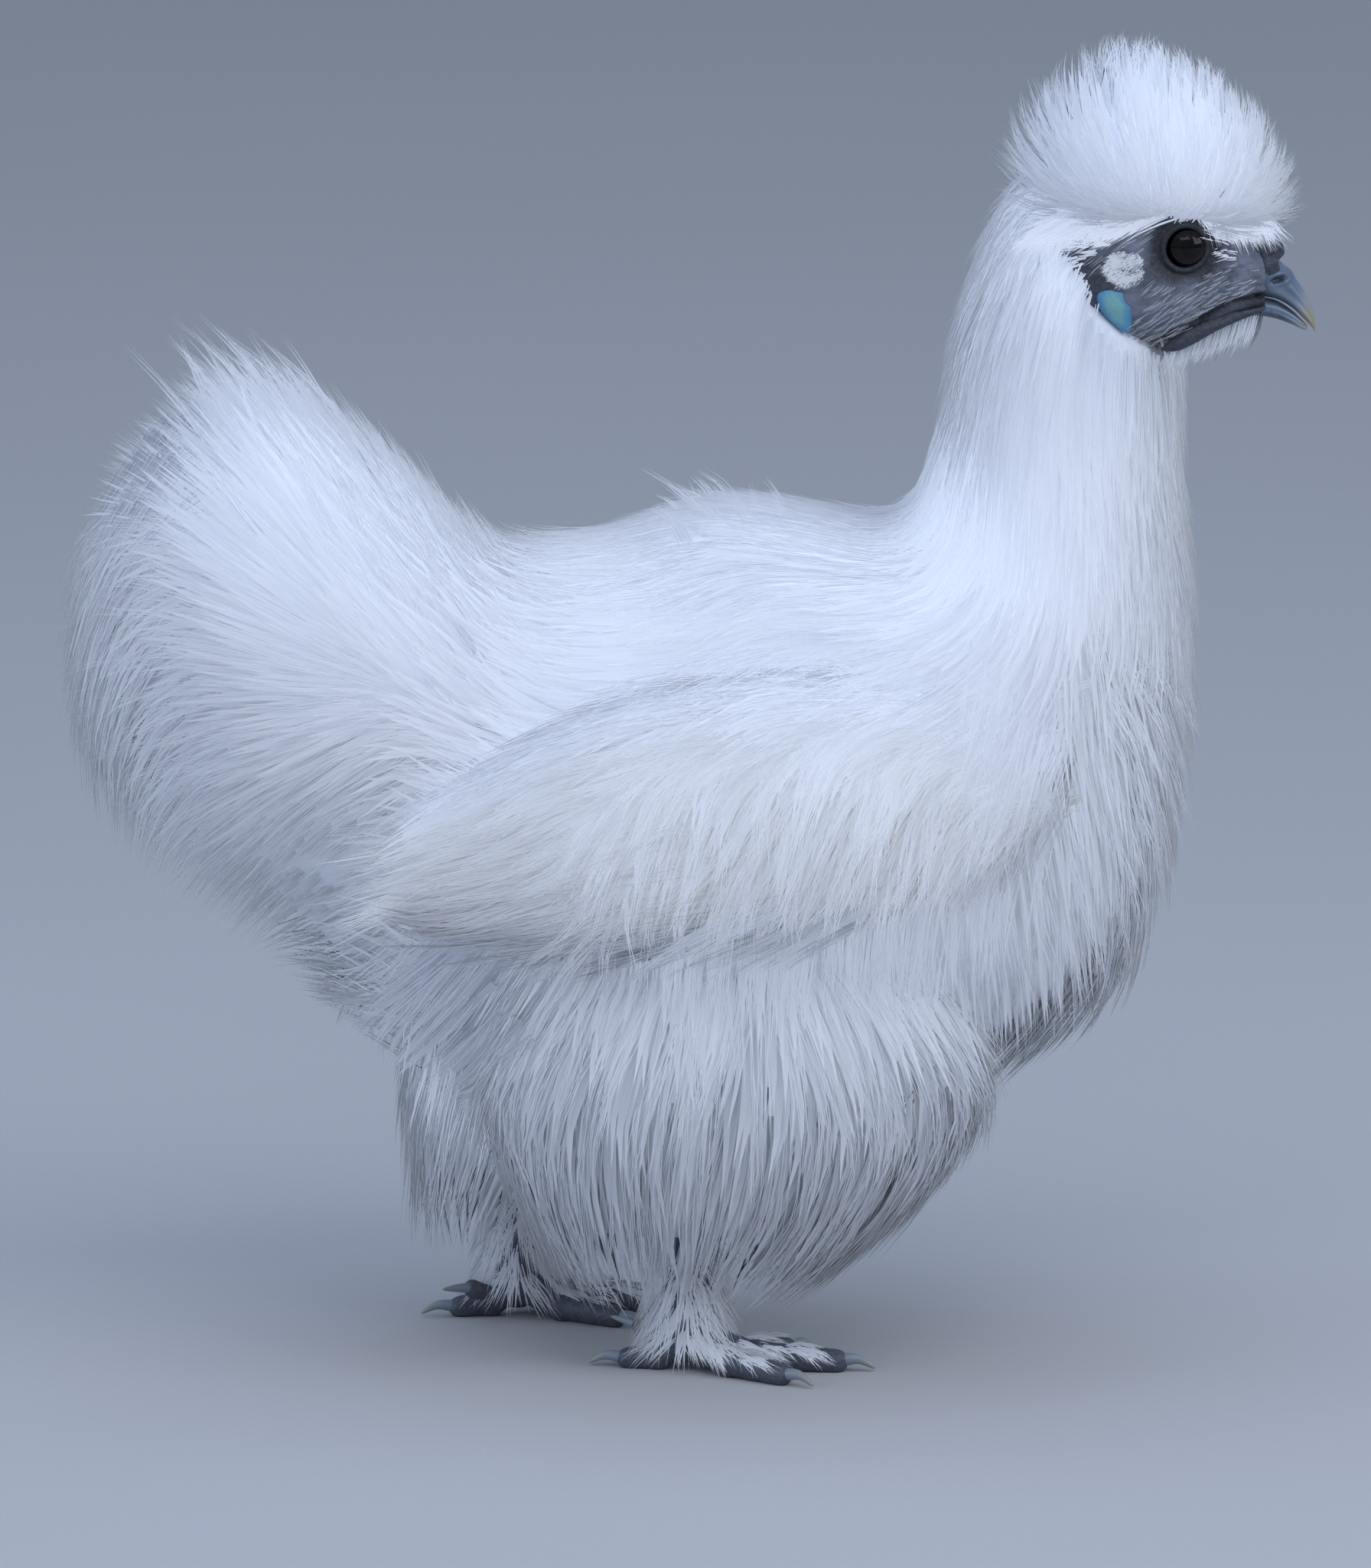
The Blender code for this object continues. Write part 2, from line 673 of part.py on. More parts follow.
def lock_shape(spine, outs, width, thickness, swell=0.0):
    """A flat lock of three-sided sections, ridge outside, that tapers to one point."""
    points, faces = [], []
    for k, share in enumerate(LOCK_WIDTHS):
        ahead = spine[k + 1] - spine[max(k - 1, 0)]
        ahead = ahead / np.linalg.norm(ahead)
        across = np.cross(ahead, outs[k])
        across /= np.linalg.norm(across)
        up = np.cross(across, ahead)
        half = width * share / 2 + swell
        tall = thickness * (1 - 0.22 * k)
        points.append(spine[k] - across * half - up * (0.35 * tall + swell))
        points.append(spine[k] + across * half - up * (0.35 * tall + swell))
        points.append(spine[k] + up * (0.65 * tall + swell))
    ahead = spine[3] - spine[2]
    points.append(spine[3] + ahead / np.linalg.norm(ahead) * swell)
    faces.append((0, 1, 2))
    for k in range(2):
        for j in range(3):
            a, b = 3 * k + j, 3 * k + (j + 1) % 3
            faces.append((a, b + 3, b))
            faces.append((a, a + 3, b + 3))
    for j in range(3):
        faces.append((6 + j, 9, 6 + (j + 1) % 3))
    return points, faces


def lock_spine(form, place, turn, length, sway, overshoot):
    """Spine and outward vectors of a lock that rises from the core to the outline along the lie."""
    depth = form.depth(place) + LOCK_SINK
    root = form.point(place, turn, depth)
    end = place
    while end < form.last - 0.15 and np.linalg.norm(form.point(end, turn + sway, 0.0) - root) < length:
        end += 0.05
    spine, outs = [], []
    for stop in LOCK_STOPS:
        here, angle = place + (end - place) * stop, turn + sway * stop
        under = depth * (1 - stop) ** LOCK_RISE - overshoot * stop
        spine.append(form.point(here, angle, under))
        outs.append(form.outward(here, angle, max(under, 0.0)))
    return spine, outs


def set_lock(node, clearance, choices, width, thickness):
    """Makes a lock on the first of the spines that keeps it clear of every other node and of the floor."""
    for spine, outs in choices:
        shape = lock_shape(spine, outs, width, thickness, GAP * 1.3)
        if min(point[2] for point in shape[0]) > 2 * GAP and clearance.free(node.name, *shape):
            shape = lock_shape(spine, outs, width, thickness)
            clearance.add(node.name, *shape)
            return add_object("lock", mesh_of(*shape), "working_shapes")
    return None


def grow_locks(node, form, clearance, places, turns, spacing, size, sway=0.12, drift=0.0, ragged=2.0):
    """Shingles part of a form with locks, each bent or shortened clear of other nodes, or left out.

    spacing is their distance along and across the lie, and size is a lock's length, width and thickness, all
    in millimetres. drift turns every lock round the form on its way to the tip, and sway varies that.
    """
    length, width, thickness = size
    middle, spread = math.radians(sum(turns) / 2), math.radians(abs(turns[1] - turns[0]) / 2)
    fans = list(np.arange(-spread, spread + 1e-6, math.radians(5)))
    fans.sort(key=lambda fan: (abs(fan) > 0.01, rng.random()))
    roots, locks = [], []
    for place in np.arange(places[0], places[1], 0.08):
        depth = form.depth(place)
        for turn in (middle + fan for fan in fans):
            root = form.point(place, turn, depth)
            lie = form.point(place + 0.1, turn, depth) - root
            lie /= np.linalg.norm(lie)
            if any(too_close(root - other, lie, spacing) for other in roots):
                continue
            probes = [form.point(place, turn, under) for under in (depth + 0.5, depth * 0.4)]
            if any(clearance.inside_other(node.name, probe) for probe in probes):
                continue
            full, lean = length * rng.uniform(0.92, 1.08), drift + rng.uniform(-sway, sway)
            over, broad = rng.uniform(-0.4, 1) * ragged, width * rng.uniform(0.92, 1.1)
            choices = (
                lock_spine(form, place, turn, full * share, lean, over + lift) for share, lift in LOCK_TRIES
            )
            lock = set_lock(node, clearance, choices, broad, thickness)
            if lock:
                locks.append(lock)
                roots.append(root)
    print(node.name, len(locks), "locks")
    return locks


def too_close(step, lie, spacing):
    """True if a step from one root to another lies inside the ellipse of the spacing."""
    along = step @ lie
    return (along / spacing[0]) ** 2 + (step @ step - along**2) / spacing[1] ** 2 < 1


def bent_spine(root, knee, tip):
    """The stops of a lock along a smooth curve drawn from root to tip towards the knee."""
    return [(1 - t) ** 2 * root + 2 * t * (1 - t) * knee + t * t * tip for t in LOCK_STOPS]


def crest_locks(crest, clearance):
    """Tufts that spring from the skull above the eyes and rise, fan out and curl over on every side."""
    heart = np.array([CREST_MIDDLE[0], 0.0, CREST_MIDDLE[1]])
    locks = []
    for lean_degrees, count, first, step in CREST_TUFTS:
        lean = math.radians(lean_degrees)
        for _, side in SIDES:
            for k in range(count):
                turn = math.radians(first + step * (k + rng.uniform(-0.15, 0.15)) + side * step / 4)
                upright = math.cos(lean)
                ray = np.array([upright * math.sin(turn), side * math.sin(lean), upright * math.cos(turn)])
                tip = heart + ray * (crest_reach(turn, lean) + rng.uniform(-1.5, 2.5))
                roll = [rng.uniform(-0.8, 0.8), side * rng.uniform(0.5, 1.4), rng.uniform(0, 0.6)]
                out = np.array(roll) + UP * 1.5 * math.sin(lean)
                choices = []
                for lift in (0, 3, 6):
                    end = tip + UP * lift
                    knee = heart + (end - heart) * 0.72 + UP * (4 + lift)
                    choices.append((bent_spine(heart + (end - heart) * 0.34, knee, end), [out] * 4))
                locks.append(set_lock(crest, clearance, choices, *TUFT_SIZE))
    return [lock for lock in locks if lock]


def nape_locks(head, clearance):
    """Locks that cover the back of the skull behind the ear, between the crest and the neck."""
    form = upright_form(HEAD_OUTLINE)
    back = np.array([-0.62, 0.0, -0.72])
    locks = []
    for row, place in enumerate((1.1, 2.0)):
        for k in range(4 - row):
            for _, side in SIDES:
                turn = side * math.radians(58 + 21 * row + (28 - 4 * row) * k)
                root, out = form.point(place, turn, LOCK_SINK), form.outward(place, turn, 0.0)
                choices = []
                for lift in (7.5, 9.5, 5, 12):
                    knee = root + back * 9 + out * (lift * 0.5 + 3.5)
                    tip = root + back * 25 + out * lift
                    choices.append((bent_spine(root, knee, tip), [out] * 4))
                locks.append(set_lock(head, clearance, choices, 11, 3.2))
    return [lock for lock in locks if lock]


def hang_locks(node, clearance, name, side):
    """Feathers that hang from the shank over the foot, as on a feather-legged breed."""
    stem = np.array([FOOT_X[name], side * FOOT_Y, 0.0])
    locks = []
    for k in range(SHANK_LOCKS):
        away = side * math.radians(-60 + 300 * k / (SHANK_LOCKS - 1))
        out = np.array([math.cos(away), math.sin(away), 0.0])
        high = ANKLE_Z + 13 - 7 * (k % 2)
        root = stem + out * 2.6 + UP * high
        knee = stem + out * 14 + UP * (high - 1.0)
        choices = []
        for lift in (0, 2, 4, 6):
            tip = stem + out * (21 + 3 * (k % 2)) + UP * (5.5 + lift)
            choices.append((bent_spine(root, knee, tip), [out * 0.5 + UP] * 4))
        locks.append(set_lock(node, clearance, choices, 11, 3.2))
    return [lock for lock in locks if lock]


def rest_on_origin(nodes):
    """Moves the bird so that the middle of its box's underside is the origin."""
    points = np.vstack([np.array([vert.co for vert in node.data.vertices]) for node in nodes])
    low, high = points.min(axis=0), points.max(axis=0)
    shift = Matrix.Translation((-(low[0] + high[0]) / 2, -(low[1] + high[1]) / 2, -low[2]))
    for node in nodes:
        node.data.transform(shift)


for old in list(bpy.data.objects):
    bpy.data.objects.remove(old)
for title in ("silkie_hen", "working_shapes"):
    bpy.context.scene.collection.children.link(bpy.data.collections.new(title))

trunk = trunk_form()
forms = {}
for name, side in SIDES:
    forms[f"wing_{name}"] = wing_form(side)
    forms[f"thigh_{name}"] = thigh_form(name, side)

head = make_head(trunk)
neck = loft("neck", trunk.solid(0, NECK_END, 9, 16, trims=(0, GAP / 2)))
face = make_face(head, neck)
torso, tail, crest, *limbs = make_bodies(trunk, forms, head, neck, face)
legs = [piece for name, side in SIDES for piece in make_leg(name, side)]
nodes = [head, neck, torso, tail, crest] + face + limbs + legs

# Locks of each node: the places and turns they cover, their spacing, then length, width and thickness
clearance = Clearance(nodes)
by_name = {node.name: node for node in nodes}
coat = {"crest": crest_locks(crest, clearance)}
for name, side in SIDES:
    wing, shank = by_name[f"wing_{name}"], by_name[f"shank_{name}"]
    form = forms[wing.name]
    turns = (142 * side, 172 * side)
    vanes = grow_locks(wing, form, clearance, (3.4, 6.9), turns, (19, 10), (52, 9, 1.8), 0.03)
    turns = (12 * side, 136 * side)
    coverts = grow_locks(wing, form, clearance, (0.9, 6.0), turns, (24, 18), (42, 15, 3.4), 0.08, 0.3 * side)
    coat[wing.name] = vanes + coverts
    coat[shank.name] = hang_locks(shank, clearance, name, side)
coat["head"] = nape_locks(head, clearance)
coat["neck"] = grow_locks(neck, trunk, clearance, (0.15, 4.7), (0, 360), (20, 16.5), (40, 14, 3.6))
coat["tail"] = grow_locks(
    tail, trunk, clearance, (13.75, 18.2), (0, 360), (25, 21), (56, 16, 4.0), ragged=TAIL_RAGGED
)
coat["torso"] = grow_locks(torso, trunk, clearance, (5.2, 13.3), (0, 360), (29, 24), (52, 20, 4.2))
for name, side in SIDES:
    thigh = by_name[f"thigh_{name}"]
    form = forms[thigh.name]
    coat[thigh.name] = grow_locks(thigh, form, clearance, (1.0, 3.9), (0, 360), (23, 21), (40, 17, 4.0))
for title, locks in coat.items():
    join(by_name[title], locks, "MANIFOLD")
    keep_largest(by_name[title])

for node in nodes:
    colour, roughness = WHITE_PLUMAGE, 0.85
    if node.name == "head" or node.name.startswith(("comb", "wattle", "foot")):
        colour, roughness = SLATE_SKIN, 0.6
    elif node.name.startswith("eye"):
        colour, roughness = DARK_EYE, 0.1
    elif node.name.startswith("lobe"):
        colour, roughness = TURQUOISE_LOBE, 0.5
    elif node.name.startswith(("bill", "claw")):
        colour, roughness = BLUE_HORN, 0.4
    paint(node, colour, roughness)
rest_on_origin(nodes)
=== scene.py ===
"""The looks of a life-size museum model of a white silkie hen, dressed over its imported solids.

Sizes are in millimetres in the hen's own layout, where +X is the way she faces, +Y is her left side and
+Z is up, and become metres when a mesh is made. One skin lies inside the solids, and tens of thousands of
thin, tapering, closed strands lie over it as the silky plumage, tuft by tuft along the lie of the coat.
"""

import math

import bmesh
import bpy
import numpy as np
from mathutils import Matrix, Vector


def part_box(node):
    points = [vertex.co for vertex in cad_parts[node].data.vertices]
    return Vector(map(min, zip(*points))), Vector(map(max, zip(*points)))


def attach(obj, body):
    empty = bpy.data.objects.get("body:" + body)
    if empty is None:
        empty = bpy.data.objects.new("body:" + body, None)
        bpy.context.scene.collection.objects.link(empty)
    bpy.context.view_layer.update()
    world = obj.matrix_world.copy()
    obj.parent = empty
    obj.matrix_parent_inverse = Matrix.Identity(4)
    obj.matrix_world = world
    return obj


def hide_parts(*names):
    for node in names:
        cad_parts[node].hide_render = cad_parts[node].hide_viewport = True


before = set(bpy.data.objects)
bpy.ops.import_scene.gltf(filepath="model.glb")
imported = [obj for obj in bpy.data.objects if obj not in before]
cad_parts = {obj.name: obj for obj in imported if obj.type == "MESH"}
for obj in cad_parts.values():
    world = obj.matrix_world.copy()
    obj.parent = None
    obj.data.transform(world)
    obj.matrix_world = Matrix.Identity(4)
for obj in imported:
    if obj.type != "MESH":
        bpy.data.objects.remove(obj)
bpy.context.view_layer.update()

# The hen's layout in the frame. Her left eye is a ball in the solids, and the middle of its box gives the
# shift from her layout to the frame.
MM = 0.001
EYE_CENTRE = np.array((119.7, 8.0, 272.9))
eye_corners = np.array([list(corner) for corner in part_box("eye_left")]) / MM
SHIFT = eye_corners.mean(axis=0) - EYE_CENTRE
SIDES = (("left", 1), ("right", -1))
UP = np.array((0.0, 0.0, 1.0))


def placed(points):
    """Points of the hen's layout as metres in the frame."""
    return (np.asarray(points, float) + SHIFT) * MM


def unit(vectors):
    vectors = np.asarray(vectors, float)
    return vectors / np.maximum(np.linalg.norm(vectors, axis=-1, keepdims=True), 1e-9)


def columns(*values):
    """Values side by side as the last axis of an array, where a single number fills its column."""
    return np.stack(np.broadcast_arrays(*values), axis=-1)


# The studio: a pale floor, a broad key light high on the near side, softer lights from above, ahead and
# behind, and a cool even surround. The camera looks from her right side, 12 degrees above the floor,
# through a long lens.
FLOOR_SIZE = 12.0
FLOOR_COLOUR = "#bdbdbf"
SKY_COLOUR = "#cbdcf6"
SKY_STRENGTH = 0.44
LIGHTS_AIM = (0, 0, 0.13)  # metres, at the middle of the hen
VIEW_ELEVATION = math.radians(12)
VIEW_DISTANCE = 9000.0
VIEW_HEIGHT = 379.1  # height of the picture at the hen
VIEW_AIM = np.array((-0.2, 0.0, 138.2))


def colour(hex_code):
    """An sRGB hex colour as the linear values that a shader takes."""
    values = [int(hex_code[i : i + 2], 16) / 255 for i in (1, 3, 5)]
    linear = [v / 12.92 if v <= 0.04045 else ((v + 0.055) / 1.055) ** 2.4 for v in values]
    return (*linear, 1.0)


def add_node(tree, kind, settings=None, links=None):
    """Adds a node with its properties, and its inputs' values or the sockets that feed them."""
    made = tree.nodes.new(kind)
    for name, value in (settings or {}).items():
        setattr(made, name, value)
    for name, value in (links or {}).items():
        socket = made.inputs[name]
        if isinstance(value, bpy.types.NodeSocket):
            tree.links.new(value, socket)
        else:
            socket.default_value = value
    return made


def new_material(name):
    """An empty node material with its shader and output, and the shader to fill in."""
    made = bpy.data.materials.new(name)
    made.use_nodes = True
    made.node_tree.nodes.clear()
    shader = add_node(made.node_tree, "ShaderNodeBsdfPrincipled")
    add_node(made.node_tree, "ShaderNodeOutputMaterial", links={"Surface": shader.outputs[0]})
    return made, made.node_tree, shader


studio_paint, tree, shader = new_material("matt_studio_floor")
coords = add_node(tree, "ShaderNodeTexCoord")
mottle = add_node(tree, "ShaderNodeTexNoise", links={"Vector": coords.outputs["Object"], "Scale": 3.0})
tint = add_node(
    tree, "ShaderNodeMix", {"data_type": "RGBA"},
    {"Factor": mottle.outputs["Fac"], "A": colour("#b7b7b9"), "B": colour(FLOOR_COLOUR)},
)
tree.links.new(tint.outputs["Result"], shader.inputs["Base Color"])
shader.inputs["Roughness"].default_value = 0.9
bpy.ops.mesh.primitive_plane_add(size=FLOOR_SIZE)
floor = bpy.context.object
floor.name = "studio_floor"
floor.data.materials.append(studio_paint)

world = bpy.data.worlds.new("studio_surround")
world.use_nodes = True
world.node_tree.nodes["Background"].inputs["Color"].default_value = colour(SKY_COLOUR)
world.node_tree.nodes["Background"].inputs["Strength"].default_value = SKY_STRENGTH
bpy.context.scene.world = world
bpy.context.scene.view_settings.view_transform = "Standard"

for name, place, size, power, tone in (
    ("key_light", (0.25, -1.25, 1.65), 1.4, 12.6, "#f0f4ff"),
    ("top_light", (-0.1, 0.3, 1.6), 1.2, 6.8, "#c8dcff"),
    ("front_light", (1.5, -0.7, 0.9), 1.0, 9.5, "#eaf1ff"),
    ("back_light", (-1.4, -0.5, 0.5), 1.2, 6.5, "#dce8ff"),
):
    lamp = bpy.data.lights.new(name, "AREA")
    lamp.size = size
    lamp.energy = power
    lamp.color = colour(tone)[:3]
    light = bpy.data.objects.new(name, lamp)
    light.location = place
    light.rotation_euler = (Vector(place) - Vector(LIGHTS_AIM)).to_track_quat("Z", "Y").to_euler()
    bpy.context.scene.collection.objects.link(light)

lens = bpy.data.cameras.new("camera")
lens.sensor_fit = "VERTICAL"
lens.sensor_height = 36.0
lens.lens = 36.0 * VIEW_DISTANCE / VIEW_HEIGHT
lens.clip_end = 50.0
camera = bpy.data.objects.new("camera", lens)
away = np.array((0.0, -math.cos(VIEW_ELEVATION), math.sin(VIEW_ELEVATION)))
camera.location = placed(VIEW_AIM + away * VIEW_DISTANCE)
camera.rotation_euler = Vector(away).to_track_quat("Z", "Y").to_euler()
bpy.context.scene.collection.objects.link(camera)
bpy.context.scene.camera = camera


# The skin, dark slate and bare only on her face and feet, and elsewhere hidden by white down. One closed
# skin runs through head, neck, body, wings, thighs, shanks and toes: rounded forms are lofted from their
# outlines and merged by a fine remesh, and the head is worked in more detail before it joins them.
TRUNK_OUTLINE = [
    (74, 281, 121, 240, 22, 8), (67, 264, 121, 231, 31, 9), (62, 246, 119.5, 220, 35.5, 10),
    (60, 228, 121, 207, 38.5, 10), (58, 213, 123.5, 190, 44, 10.5), (54, 201, 123.5, 166, 53, 11),
    (43, 202, 121.5, 140, 61, 11.5), (31, 206, 117, 117, 66, 12), (16, 209, 109, 95, 69, 12),
    (2, 210, 93, 75, 70, 12), (-13, 204, 56, 57, 70, 12), (-25, 199, 12, 47, 68, 12),
    (-33, 197, -32, 47, 65, 12), (-39, 198, -66, 60, 62, 13), (-46, 201, -92, 88, 60, 14),
    (-56, 209, -107, 99, 60, 15), (-70, 222, -123, 109, 59, 17), (-88, 235, -137, 124, 55, 21),
    (-107, 243, -147, 146, 48, 32), (-128, 235, -151, 173, 36, 30), (-145, 214, -150, 197, 12, 10),
]
TAIL_CORE_END = 18.25
HEAD_OUTLINE = [
    (83, 279, 262, 5), (87, 284.5, 255, 11), (94, 289, 249, 14.8), (103, 291.5, 246.5, 16.2),
    (112, 291, 246.5, 16), (120, 288.5, 248.5, 14.2), (128, 282, 251, 11.2), (134, 275.5, 253, 8.6),
    (139.5, 270.5, 254.8, 6.2),
]
CREST_MIDDLE = (114, 289)
CREST_CORE = ((111.5, 0, 293.5), (25, 21, 12.5))
WING_OUTLINE = [
    (84, 146, 8, 60, 7), (76, 147, 20, 65, 12), (60, 147, 30, 71, 15), (34, 146, 34, 77, 17),
    (4, 144, 34, 79.5, 18), (-26, 140, 30, 79, 17), (-50, 134, 23, 74, 14), (-68, 129, 15, 68, 10),
    (-82, 126, 7, 63, 6),
]
WING_LEAN = 0.16
WING_COAT = 7.0  # depth of the plumage over the skin
THIGH_OUTLINE = [
    (104, 50, 30, 26, 0.0), (86, 62, 33, 32, 0.02), (66, 66, 35, 35, 0.06), (46, 54, 35, 34, 0.3),
    (30, 40, 34, 28, 0.62), (19, 29, 32, 21, 0.94), (13, 19, 31, 13, 1.0),
]
THIGH_COAT = 11.0
HIP_X = {"left": -4, "right": 12}
FOOT_X = {"left": -41, "right": 0}
FOOT_Y = 30
ANKLE_Z = 11.5
SKIN_VOXEL = 2.9


class Form:
    """A rounded form through elliptical sections, each with a centre, a half height and a half width."""

    def __init__(self, centres, heights, widths, depths=0.0):
        depths = np.broadcast_to(np.asarray(depths, float), (len(centres),)).reshape(-1, 1)
        self.rows = np.hstack([np.asarray(centres, float), heights, widths, depths])
        self.last = len(self.rows) - 1

    def row(self, place):
        """Rows at places between the table's rows, on a smooth curve through them."""
        place = np.clip(np.asarray(place, float), 0.0, self.last)
        i = np.minimum(place.astype(int), self.last - 1)
        t = (place - i)[..., None]
        before, here = self.rows[np.maximum(i - 1, 0)], self.rows[i]
        ahead, after = self.rows[i + 1], self.rows[np.minimum(i + 2, self.last)]
        bend = 2 * before - 5 * here + 4 * ahead - after
        twist = 3 * here - before - 3 * ahead + after
        return 0.5 * ((ahead - before) * t + 2 * here + bend * t**2 + twist * t**3)

    def at(self, place, turn, depth=0.0):
        """Points at that depth under the outline, turned from the top towards +Y."""
        row, turn = self.row(place), np.asarray(turn, float)[..., None]
        edge = row[..., 3:6] * np.cos(turn) + row[..., 6:9] * np.sin(turn)
        reach = np.linalg.norm(edge, axis=-1, keepdims=True)
        return row[..., 0:3] + edge * np.maximum(0.05, 1 - np.asarray(depth, float)[..., None] / reach)

    def lie(self, place, turn):
        """Unit vectors along the form."""
        place = np.clip(place, 0.1, self.last - 0.1)
        return unit(self.at(place + 0.1, turn) - self.at(place - 0.1, turn))

    def before(self, place, turn, depth=0.0):
        """Points like those of at, which go straight on where the place lies ahead of the form's start."""
        short = np.minimum(place, 0.0)[..., None]
        step = (self.at(0.2 + 0 * place, turn, depth) - self.at(0 * place, turn, depth)) / 0.2
        rate = np.linalg.norm(step, axis=-1, keepdims=True)
        return self.at(place, turn, depth) + unit(step) * short * rate

    def ratio(self, points, axis):
        """How far out points lie in their sections, where 1 is the outline, for a form along an axis."""
        places = np.linspace(0, self.last, 200)
        spots = self.row(places)[:, axis]
        order = np.argsort(spots)
        place = np.interp(points[:, axis], spots[order], places[order], left=-1, right=-1)
        row = self.row(place)
        gap, tall, wide = points - row[:, 0:3], row[:, 3:6], row[:, 6:9]
        tt, ww, tw = (np.sum(a * b, axis=1) for a, b in ((tall, tall), (wide, wide), (tall, wide)))
        gt, gw = np.sum(gap * tall, axis=1), np.sum(gap * wide, axis=1)
        square = tt * ww - tw**2
        part = np.hypot((gt * ww - gw * tw) / square, (gw * tt - gt * tw) / square)
        return np.where(place < 0, 9.0, part)

    def outward(self, place, turn):
        """Unit vectors square to the surface."""
        across = self.at(place, turn + 0.05) - self.at(place, turn - 0.05)
        normal = np.cross(across, self.lie(place, turn))
        inward = np.sum(normal * (self.at(place, turn) - self.row(place)[..., 0:3]), axis=-1) < 0
        return unit(np.where(inward[..., None], -normal, normal))

    def shell(self, start, end, rings, sides):
        """Points and faces of a closed loft along part of the form, as deep as the coat lies over it."""
        places, turns = net(start, end, rings, sides)
        coat = self.row(places)[..., 9]
        return self.at(places, turns, coat).reshape(-1, 3), tube_faces(rings, sides)


def net(start, end, rings, sides):
    """Places and turns of a net of rings round part of a form."""
    turns = 2 * math.pi * np.arange(sides) / sides
    return np.meshgrid(np.linspace(start, end, rings), turns, indexing="ij")


def tube_faces(rings, sides):
    """Faces of a tube of rings, closed at both ends."""
    faces = []
    for k in range(rings - 1):
        for j in range(sides):
            a, b = k * sides + j, k * sides + (j + 1) % sides
            faces.append((a, b, b + sides, a + sides))
    faces.append(tuple(range(sides)))
    faces.append(tuple(range((rings - 1) * sides, rings * sides)))
    return faces


def trunk_form():
    top_x, top_z, bottom_x, bottom_z, width, depth = np.array(TRUNK_OUTLINE, float).T
    top, bottom = columns(top_x, 0, top_z), columns(bottom_x, 0, bottom_z)
    return Form((top + bottom) / 2, (top - bottom) / 2, columns(0, width, 0), depth)


def upright_form(outline):
    """A form whose sections stand upright one behind the other, for the head and bill."""
    x, top, bottom, width = np.array(outline, float).T
    return Form(columns(x, 0, (top + bottom) / 2), columns(0, 0, (top - bottom) / 2), columns(0, width, 0))


def wing_form(side):
    x, z, height, edge, width = np.array(WING_OUTLINE, float).T
    heights = columns(0, -side * WING_LEAN * height, height)
    return Form(columns(x, side * (edge - width), z), heights, columns(0, width, 0), WING_COAT)


def thigh_form(name, side):
    z, length, y, width, share = np.array(THIGH_OUTLINE, float).T
    x = HIP_X[name] + (FOOT_X[name] - HIP_X[name]) * share
    return Form(columns(x, side * y, z), columns(length, 0, 0), columns(0, width, 0), THIGH_COAT)


def new_object(name, points, faces):
    """A mesh object in the frame from points of the layout, with its faces pointing out."""
    mesh = bpy.data.meshes.new(name)
    mesh.from_pydata(placed(points).tolist(), [], faces)
    shape = bmesh.new()
    shape.from_mesh(mesh)
    bmesh.ops.recalc_face_normals(shape, faces=shape.faces)
    shape.to_mesh(mesh)
    shape.free()
    mesh.polygons.foreach_set("use_smooth", [True] * len(mesh.polygons))
    made = bpy.data.objects.new(name, mesh)
    bpy.context.scene.collection.objects.link(made)
    return made


def ball_shape(centre, radii, rings=16, sides=20):
    """Points and faces of an ellipsoid."""
    angles = math.pi * (np.arange(rings) + 0.5) / rings
    turns = 2 * math.pi * np.arange(sides) / sides
    ball = [
        (math.sin(a) * math.cos(t), math.sin(a) * math.sin(t), math.cos(a)) for a in angles for t in turns
    ]
    return np.array(centre) + np.array(ball) * np.array(radii), tube_faces(rings, sides)


def rod_shape(path, radii, sides=16):
    """Points and faces of a tapered round rod along a path."""
    path, points = np.asarray(path, float), []
    for k, (at, radius) in enumerate(zip(path, radii)):
        ahead = unit(path[min(k + 1, len(path) - 1)] - path[max(k - 1, 0)])
        across = unit(np.cross(ahead, UP if abs(ahead[2]) < 0.9 else (1.0, 0.0, 0.0)))
        over = np.cross(across, ahead)
        for j in range(sides):
            turn = 2 * math.pi * j / sides
            points.append(at + radius * (across * math.cos(turn) + over * math.sin(turn)))
    return np.array(points), tube_faces(len(path), sides)


def merged(name, shapes, voxel, smoothing):
    """One closed mesh from overlapping shapes, by a voxel remesh that is then smoothed."""
    points, faces = [], []
    for shape_points, shape_faces in shapes:
        start = sum(len(group) for group in points)
        points.append(shape_points)
        faces += [tuple(start + i for i in face) for face in shape_faces]
    made = new_object(name, np.vstack(points), faces)
    remesh = made.modifiers.new("remesh", "REMESH")
    remesh.mode = "VOXEL"
    remesh.voxel_size = voxel * MM
    remesh.use_smooth_shade = True
    smooth = made.modifiers.new("smooth", "SMOOTH")
    smooth.iterations = smoothing
    settle(made)
    return made


def settle(made):
    """Applies an object's modifiers to its mesh."""
    bpy.context.view_layer.update()
    graph = bpy.context.evaluated_depsgraph_get()
    made.data = bpy.data.meshes.new_from_object(made.evaluated_get(graph))
    made.modifiers.clear()


def ripple(points, length, seed):
    """A smooth wavering value from -1 to 1 at each point, whose waves are about the given length in mm."""
    draw = np.random.default_rng(seed)
    total = np.zeros(len(points))
    for _ in range(4):
        wave = unit(draw.normal(size=3)) * 2 * math.pi / (length * draw.uniform(0.7, 1.4))
        total += np.sin(points @ wave + draw.uniform(0, 2 * math.pi))
    return total / 2.2


